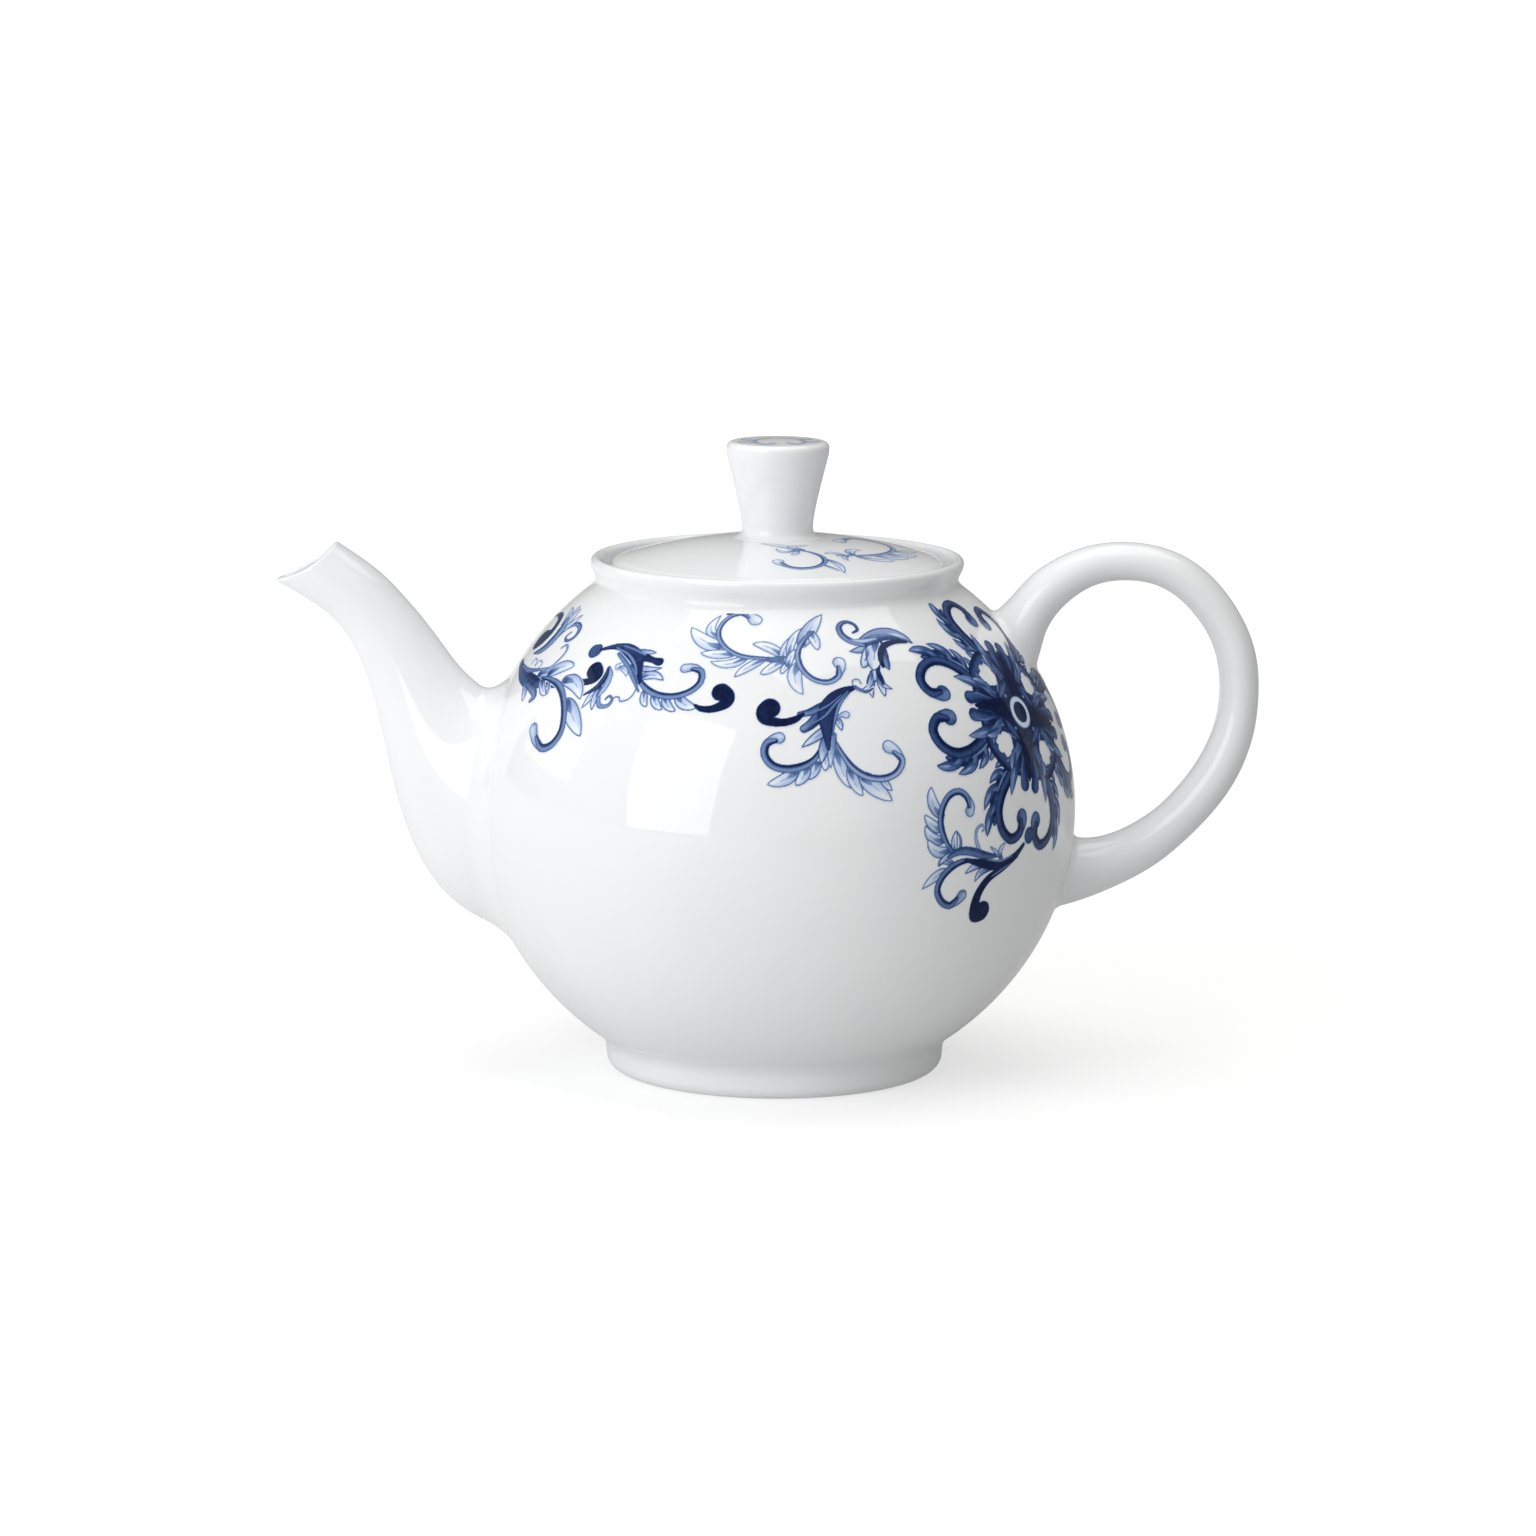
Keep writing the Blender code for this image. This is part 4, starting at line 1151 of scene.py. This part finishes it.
def paintMedallion(sheet):  # four arms about an eye, each a pair of scrolls that face each other
    lean = -16  # degrees that the whole flower is turned
    for arm in range(4):
        for flip in (1, -1):
            sheet.stand(90 * arm + lean, flip)
            sheet.brush(
                ((6.6, 13.4), (10.6, 17.4), (13, 21), (14.4, 25.2), (13.6, 29)), (1.0, 1.5, 1.7, 1.4, 0.5),
                (0.8, 0.6), 0.92, -0.2,
            )
            sheet.leaves((
                ((8.4, 14), (11.4, 14), (13.8, 15.6), 0.95), ((10.4, 17), (13.2, 17), (16, 19.4), 1.2),
                ((12.6, 20.4), (15.6, 21.8), (17.6, 26), 1.35),
                ((13.6, 24.6), (15.6, 28.2), (15.6, 32.2), 1.4),
            ), fill=(1.1, 3.0), rim=0.9, shade=0.45, glint=0.24)
            sheet.brush(((8.6, 14.8), (11.4, 17.8), (13.4, 21.4)), (0.1, 0.3, 0.1), 0.35, 0.5)
            sheet.scroll(
                (
                    (4, 9.6), (6.4, 13.8), (9.2, 18), (11.6, 22), (12.4, 26.4), (10.4, 30.4), (6.6, 32.2),
                    (3.4, 30.2), (2.8, 27.6), (3.2, 26.6),
                ),
                1.3, 2.15, fill=0.7, rim=0.95, shade=0.26, bulbFill=0.52,
            )
    for arm in range(4):
        sheet.stand(90 * arm + lean)
        sheet.brush(
            ((3, 15.4), (9, 14.4), (11.9, 11.9), (14.4, 9), (15.4, 3)), (1.4, 1.5, 1.8, 1.5, 1.4), 0.66,
            0.92, 0.25,
        )
        sheet.brush(((0, 2), (0, 8), (0, 11.5)), (6.6, 6.2, 5.2), 0.8, 0.92)
        sheet.brush(((6.2, 12.6), (9.2, 13.4)), (1.3, 0.6), 0.5, 0.9)
        sheet.brush(((12.6, 6.2), (13.4, 9.2)), (1.3, 0.6), 0.5, 0.9)
    for arm in range(4):
        for flip in (1, -1):
            sheet.stand(90 * arm + lean, flip)
            sheet.leaf((3, 9), (6.4, 15), (7.9, 21.6), 1.6, (1.4, 2.2), 0.9, 0.3, 0.3)
            sheet.leaf((4.6, 9.6), (7, 12.6), (7.4, 15.8), 1.0, (1.1, 1.2), 0.92, 0.3)
            sheet.brush(((2, 10), (2.6, 14.6), (2.3, 18.4)), (0.9, 1.3, 1.75), (0.8, 0.62), 0.95, 0.15)
            sheet.brush(((2.6, 12), (3.6, 15.4), (3.2, 17.6)), (0.1, 0.3, 0.15), 0.5, 0.6)
            sheet.brush(((3.4, 6.4), (4.6, 10), (5.8, 13.6)), (0.15, 0.4, 0.15), 0.55, 0.6)
        sheet.stand(90 * arm + lean)
        sheet.brush(((0, 3), (0.3, 9), (0.2, 17)), (3.2, 2.4, 0.5), 0.97, 0.97)
        sheet.brush(((-1.6, 6), (-1.5, 10), (-0.9, 14)), (0.1, 0.25, 0.1), 0.7, 0.75)
    sheet.stand(0)
    sheet.brush(((0, 0), (0.1, 0)), 9.2, 0.88, 0.9)
    for arm in range(4):
        sheet.stand(90 * arm + lean)
        sheet.brush(((0, 4), (0.3, 9), (0.1, 12)), (2.6, 2.4, 0.6), 0.98, 0.98)
        sheet.brush(((3.2, 7.2), (5.4, 5.6), (7.2, 3.2)), (0.5, 1.3, 0.5), (0.62, 0.6), 0.9, 0.2)
        sheet.brush(((4.6, 7.4), (6.4, 6.6)), (0.25, 0.35), 0.45, 0.6)
        sheet.brush(((3.7, 4.6), (3.8, 4.7)), 0.42, 0.3, 0.5)
        # a window of bare glaze
        for x, y in (
            (8.9, 8.9), (7.5, 7.9), (8.3, 10.6), (10.5, 10.2), (10.4, 8.1), (8.6, 7.3), (7.4, 9.4),
        ):
            sheet.brush(((x, y), (x + 0.1, y)), 1.25, 0.0, 0.0)
        sheet.brush(((8.9, 8.9), (9, 8.9)), 2.4, 0.0, 0.0)
    sheet.stand(0)
    sheet.brush(((0, 0), (0.1, 0)), 5.0, 0.93, 0.95)
    sheet.brush(((0, 0), (0.1, 0)), 4.2, 0.1, 0.5)
    sheet.brush(((0, 0), (0.1, 0)), 2.7, 0.95, 0.95)
    sheet.brush(((-7.5, -29.5), (-7.6, -29.6)), 2.0, 0.7, 0.9)


def paintLid(sheet):  # two thin scrolls on the lid
    sheet.leaves((
        ((-10, 3.8), (-14.4, 6.6), (-20.2, 9.9), 1.2), ((-10.6, 4), (-12.4, 6.4), (-8.4, 8.6), 1.0),
        ((-12, 3), (-14.6, 1.6), (-16.4, 4.6), 0.7),
        ((-11, 2.6), (-11.6, 0.6), (-12.4, -0.8), 0.8), ((-3.6, -3), (-0.8, -6), (0.3, -11), 0.9),
        ((-4.4, -7), (-2.4, -8.4), (-0.6, -9.8), 0.5),
        ((2.4, 4), (2, 7.6), (4.7, 10), 1.2), ((1, 1.6), (-2, 3.4), (-4.4, 2), 0.9),
        ((4, 3), (8.6, 3), (13, 5.6), 1.1),
        ((8, 6.6), (12.8, 8), (16.6, 12), 1.1), ((11, 10.6), (15.8, 13.6), (18.6, 18.6), 1.1),
        ((12.6, 16), (16, 19.6), (18.6, 24.6), 1.1),
        ((1, 2.2), (0.4, 0.4), (1.6, -1.6), 0.7),
    ), fill=(0.3, 0.06), rim=0.52, shade=0.2)
    sheet.scroll(
        (
            (-12, 4), (-8, 2.4), (-5, -0.8), (-4.4, -5), (-6.6, -8.7), (-10.4, -10.3), (-13.6, -9.2),
            (-15.4, -7.2), (-15.8, -6),
        ),
        0.7, 1.5, fill=0.35, rim=0.66, shade=-0.4, bulbFill=0.08,
    )
    sheet.scroll(
        (
            (-1.4, 1.6), (4, 4), (8.8, 8), (11.8, 13.4), (12.8, 19.4), (11, 25), (6.4, 27.6), (2, 25.4),
            (0, 20.6), (-0.6, 17.6),
        ),
        0.75, 1.8, fill=0.3, rim=0.55, shade=0.3, bulbFill=0.08,
    )


def paintKnob(sheet):  # a small pair of scrolls on the knob's top
    for flip in (1, -1):
        sheet.stand(8, flip)
        sheet.leaf((-6, -3), (-8.6, -3), (-9.6, 0.6), 1.0, (0.2, 0.06), 0.4)
        sheet.leaf((-5.6, 0.6), (-7.8, 2.4), (-7.4, 5.6), 0.9, (0.2, 0.06), 0.4)
        sheet.scroll(
            ((-0.6, 4.6), (-4, 3), (-5.8, -0.8), (-5.9, -5), (-3.9, -7.8), (-2, -6.8), (-2.2, -5.6)),
            0.45, 0.8, fill=0.2, rim=0.42, shade=-0.25, bulbFill=0.05,
        )
    sheet.stand(0)


cobaltLook = {
    "thinnest": 0.76,  # share of the ink left where it runs thin
    "pools": 0.34,
    "streaks": 0.14,
    "specular": 0.12,
}

inkColours = (  # from bare glaze to the darkest cobalt
    (0.0, (0.80, 0.83, 0.86)), (0.16, (0.53, 0.63, 0.80)), (0.38, (0.19, 0.285, 0.51)),
    (0.62, (0.048, 0.098, 0.255)), (0.82, (0.010, 0.026, 0.100)), (1.0, (0.001, 0.006, 0.042)),
)


def makeCobalt():  # cobalt under the glaze: it pools and thins a little as it was brushed
    glaze = Glaze("cobalt under the glaze")
    place, ground, roughness, normal = glazeNodes(glaze)
    laid = glaze.add("Attribute", {"attribute_name": "ink"}, out="Fac")
    pool = glaze.add("TexNoise", {}, {"Vector": place, "Scale": 620.0, "Detail": 4.0, "Roughness": 0.6})
    streak = glaze.add("TexNoise", {}, {"Vector": place, "Scale": 150.0, "Detail": 2.0})
    tone = laid * (cobaltLook["thinnest"] + pool * cobaltLook["pools"] + streak * cobaltLook["streaks"])
    blue = glaze.add("ValToRGB", {"stops": inkColours}, {"Fac": tone})
    cover = glaze.add("MapRange", {}, {"Value": laid, "From Min": 0.01, "From Max": 0.1})
    colour = glaze.add("Mix", {"data_type": "RGBA"}, {0: cover, 6: ground, 7: blue}, out=2)
    return glaze.finish(
        {"IOR": 1.52, "Specular IOR Level": cobaltLook["specular"]},
        {"Base Color": colour, "Roughness": roughness, "Normal": normal},
    )


cobalt = makeCobalt()


def ontoPot(azimuth, height, lift):  # lays a sheet on the body, about a point this far round from the front
    turn = math.radians(azimuth)
    up = (height - body["centreZ"]) / body["halfHeight"]
    level = math.sqrt(1 - up * up)
    out = body["radius"] * level
    start = np.array((out * math.sin(turn), -out * math.cos(turn), body["halfHeight"] * up))
    reach = np.linalg.norm(start)
    away = start / reach
    east = np.array((math.cos(turn), math.sin(turn), 0.0))
    north = np.cross(away, east)

    def lay(x, y):
        gap = np.hypot(x, y) + 1e-9
        share = np.sin(gap / reach) / gap
        way = np.cos(gap / reach)[:, None] * away
        way = way + (share * x)[:, None] * east + (share * y)[:, None] * north
        found = onBody(way + (0, 0, body["centreZ"]))
        return found + bodyNormal(found) * lift

    return lay


def ontoLid(across, back, lift):
    def lay(x, y):
        x, y = x + across, y + back
        return np.stack([x, y, lidHeight(np.hypot(x, y)) + lift], -1)

    return lay


def ontoKnob(lift):
    edgeR = knob["topRadius"] - knob["edgeRound"]

    def lay(x, y):
        return np.stack([x, y, knobHigh[2] - knob["crown"] * (np.hypot(x, y) / edgeR) ** 2 + lift], -1)

    return lay


def makePrint(name, paint, width, height, lay, rides):  # a painted sheet, laid, with its bare part cut away
    sheet = PrintSheet(width, height)
    paint(sheet)
    rows, columns = sheet.ink.shape
    piece, column, row = makeGrid(name, columns - 1, rows - 1)
    placePoints(piece, lay(sheet.across[column], sheet.up[row]))
    laid = piece.data.attributes.new("ink", "FLOAT", "POINT")
    laid.data.foreach_set("value", sheet.ink[row, column])
    corners = np.empty(len(piece.data.loops), int)
    piece.data.loops.foreach_get("vertex_index", corners)
    blank = sheet.ink[row, column][corners].reshape(-1, 4).max(1) < 0.004
    bpy.context.tool_settings.mesh_select_mode = (False, False, True)
    bpy.ops.object.mode_set(mode="EDIT")
    bpy.ops.mesh.select_all(action="DESELECT")
    bpy.ops.object.mode_set(mode="OBJECT")
    piece.data.polygons.foreach_set("select", blank)
    bpy.ops.object.mode_set(mode="EDIT")
    bpy.ops.mesh.delete(type="FACE")
    bpy.ops.object.mode_set(mode="OBJECT")
    bpy.context.tool_settings.mesh_select_mode = (True, False, False)
    bpy.ops.object.shade_smooth()
    finishWith(piece, cobalt)
    return putOn(piece, rides)


def turnedCopy(piece, degrees):  # the same print, laid again further round the pot
    deselectAll()
    piece.select_set(True)
    bpy.context.view_layer.objects.active = piece
    bpy.ops.object.duplicate(linked=False)
    copy = bpy.context.object
    copy.name = copy.data.name = piece.name + "Back"
    bpy.ops.transform.rotate(
        value=math.radians(degrees), orient_axis="Z", center_override=(axisX * mm, 0, 0)
    )
    bpy.ops.object.transform_apply(location=True, rotation=True, scale=True)
    return putOn(copy, "pot")


backTurn = 198.0  # keeps the medallion clear of the spout and the hook clear of the handle

for laidPrint in (
    makePrint("printTree", paintTree, 40, 34, ontoPot(11.4, 94.5, 0.08), "pot"),
    makePrint("printScrolls", paintDouble, 60, 32, ontoPot(6, 113, 0.05), "pot"),
    makePrint("printPlume", paintPlume, 54, 24, ontoPot(-27, 105, 0.05), "pot"),
    makePrint("printLow", paintLow, 46, 40, ontoPot(37, 66, 0.05), "pot"),
    makePrint("printHook", paintSpoutScroll, 36, 26, ontoPot(-54, 97, 0.08), "pot"),
    makePrint("printMedallion", paintMedallion, 76, 76, ontoPot(60.9, 95.7, 0.08), "pot"),
):
    turnedCopy(laidPrint, backTurn)
makePrint("printRosette", paintSpoutRosette, 46, 34, ontoPot(-74.5, 110, 0.05), "pot")
makePrint("printLid", paintLid, 44, 60, ontoLid(16, -22, 0.05), "lid")
makePrint("printKnob", paintKnob, 22, 20, ontoKnob(0.05), "lid")
print("print laid")


# The strainer stays as the frame made it.

finishWith(frame["nodes"]["spout_strainer"], porcelain)


# Studio.

studio = {
    "floorColour": (0.50, 0.50, 0.50),
    "paperGlow": (0.58, 0.86),  # how brightly it glows to the camera, a painted glow, near the pot and far behind it
    "paperBounce": (0.49, 0.0),  # the painted bounce that the glowing paper throws onto the pot, on the spout's and handle's side
    "ambient": (0.24, 0.675),  # the room's dim side and its bright side
    "roomBright": (-0.46, -0.78, 0.42),  # the way to its bright side
    "lightAim": 0.08,  # height in metres that every light points at
    # place and size in metres, and power
    "lights": {
        "keyBox": ((-1.30, -1.50, 0.88), (1.34, 1.78), 17.2),
        "leftBox": ((-2.2, 0.5, 1.0), (1.4, 1.2), 3.7),
        "topBox": ((0.15, 0.15, 1.5), (1.4, 1.4), 10.0),
    },
    "cameraDistance": 1400.0,
    "cameraHeight": 319.4,
    "aimHeight": 75.7,
    "lens": 132.9,
    "roll": 0.0058,
}


def makeFloor():
    deselectAll()
    bpy.ops.mesh.primitive_plane_add(size=40, location=(0, 0, 0))
    floor = bpy.context.object
    floor.name = "studioFloor"
    look = Glaze("studio paper")
    place = look.add("TexCoord", out="Object")
    fibre = look.add("TexNoise", {}, {"Vector": place, "Scale": 300.0, "Detail": 3.0})
    dark = tuple(c * 0.985 for c in studio["floorColour"])
    tone = look.add("ValToRGB", {"stops": ((0.3, dark), (0.7, studio["floorColour"]))}, {"Fac": fibre})
    gap = look.add("VectorMath", {"operation": "LENGTH"}, {0: place}, out="Value")
    softly = {"interpolation_type": "SMOOTHSTEP"}
    far = look.add("MapRange", softly, {"Value": gap, "From Min": 0.25, "From Max": 2.2})
    near, behind = studio["paperGlow"]
    seen = look.add("LightPath", out="Is Camera Ray")
    acrossPaper = look.add("SeparateXYZ", {}, {"Vector": place}, out="X")
    share = look.add("MapRange", {}, {"Value": acrossPaper, "From Min": -0.25, "From Max": 0.2})
    left, right = studio["paperBounce"]
    # The paper's glow is painted light. The camera sees it glow, dimmer near the pot and brighter far off.
    # Every other ray gets a painted bounce that is bright on the spout's side and falls to none on the
    # handle's side, where the pot's shadow would lie.
    glow = seen * (far * (behind - near) + near) + (1 - seen) * (share * (right - left) + left)
    shine = look.add("CombineColor", {}, {0: glow, 1: glow, 2: glow})
    floor.data.materials.append(look.finish(
        {"Roughness": 0.9, "Emission Strength": 1.0, "Specular IOR Level": 0.1},
        {"Base Color": tone, "Emission Color": shine},
    ))


def softLight(name, place, size, power):
    light = bpy.data.lights.new(name, "AREA")
    light.shape = "RECTANGLE"
    light.size, light.size_y = size
    light.energy = power
    lamp = bpy.data.objects.new(name, light)
    lamp.location = place
    aim = Vector((0, 0, studio["lightAim"])) - Vector(place)
    lamp.rotation_euler = aim.to_track_quat("-Z", "Y").to_euler()
    bpy.context.scene.collection.objects.link(lamp)


def makeCamera():
    data = bpy.data.cameras.new("studioCamera")
    data.lens, data.sensor_width = studio["lens"], 36
    data.clip_start, data.clip_end = 0.05, 60
    camera = bpy.data.objects.new("studioCamera", data)
    place = Vector((0, -studio["cameraDistance"], studio["cameraHeight"])) * mm
    forward = (Vector((0, 0, studio["aimHeight"])) * mm - place).normalized()
    right = Vector((1, 0, 0))
    up = right.cross(forward)
    c, s = math.cos(studio["roll"]), math.sin(studio["roll"])
    turned = Matrix((right * c + up * s, up * c - right * s, -forward)).transposed()
    camera.matrix_world = Matrix.Translation(place) @ turned.to_4x4()
    bpy.context.scene.collection.objects.link(camera)
    bpy.context.scene.camera = camera


def makeWorld():  # a bright room in front and on the spout's side, dim behind the handle
    world = bpy.data.worlds.new("studioRoom")
    bpy.context.scene.world = world
    world.use_nodes = True
    tree = world.node_tree
    room = tree.nodes["Background"]
    heading = tree.nodes.new("ShaderNodeTexCoord")
    toward = tree.nodes.new("ShaderNodeVectorMath")
    toward.operation = "DOT_PRODUCT"
    toward.inputs[1].default_value = studio["roomBright"]
    tree.links.new(heading.outputs["Generated"], toward.inputs[0])
    share = tree.nodes.new("ShaderNodeMapRange")
    share.interpolation_type = "SMOOTHSTEP"
    tree.links.new(toward.outputs["Value"], share.inputs["Value"])
    share.inputs["From Min"].default_value = -0.15
    share.inputs["From Max"].default_value = 0.65
    dim, bright = studio["ambient"]
    strength = Wire(tree, share.outputs[0]) * (bright - dim) + dim
    tree.links.new(strength.socket, room.inputs["Strength"])
    ramp = tree.nodes.new("ShaderNodeValToRGB")
    ramp.color_ramp.elements[0].color = (1, 0.99, 0.93, 1)
    ramp.color_ramp.elements[1].color = (1, 1, 1, 1)
    tree.links.new(share.outputs[0], ramp.inputs[0])
    tree.links.new(ramp.outputs[0], room.inputs["Color"])


makeFloor()
makeWorld()
makeCamera()
for lamp, (place, size, power) in studio["lights"].items():
    softLight(lamp, place, size, power)
bpy.context.scene.view_settings.view_transform = "Standard"
print("studio set")
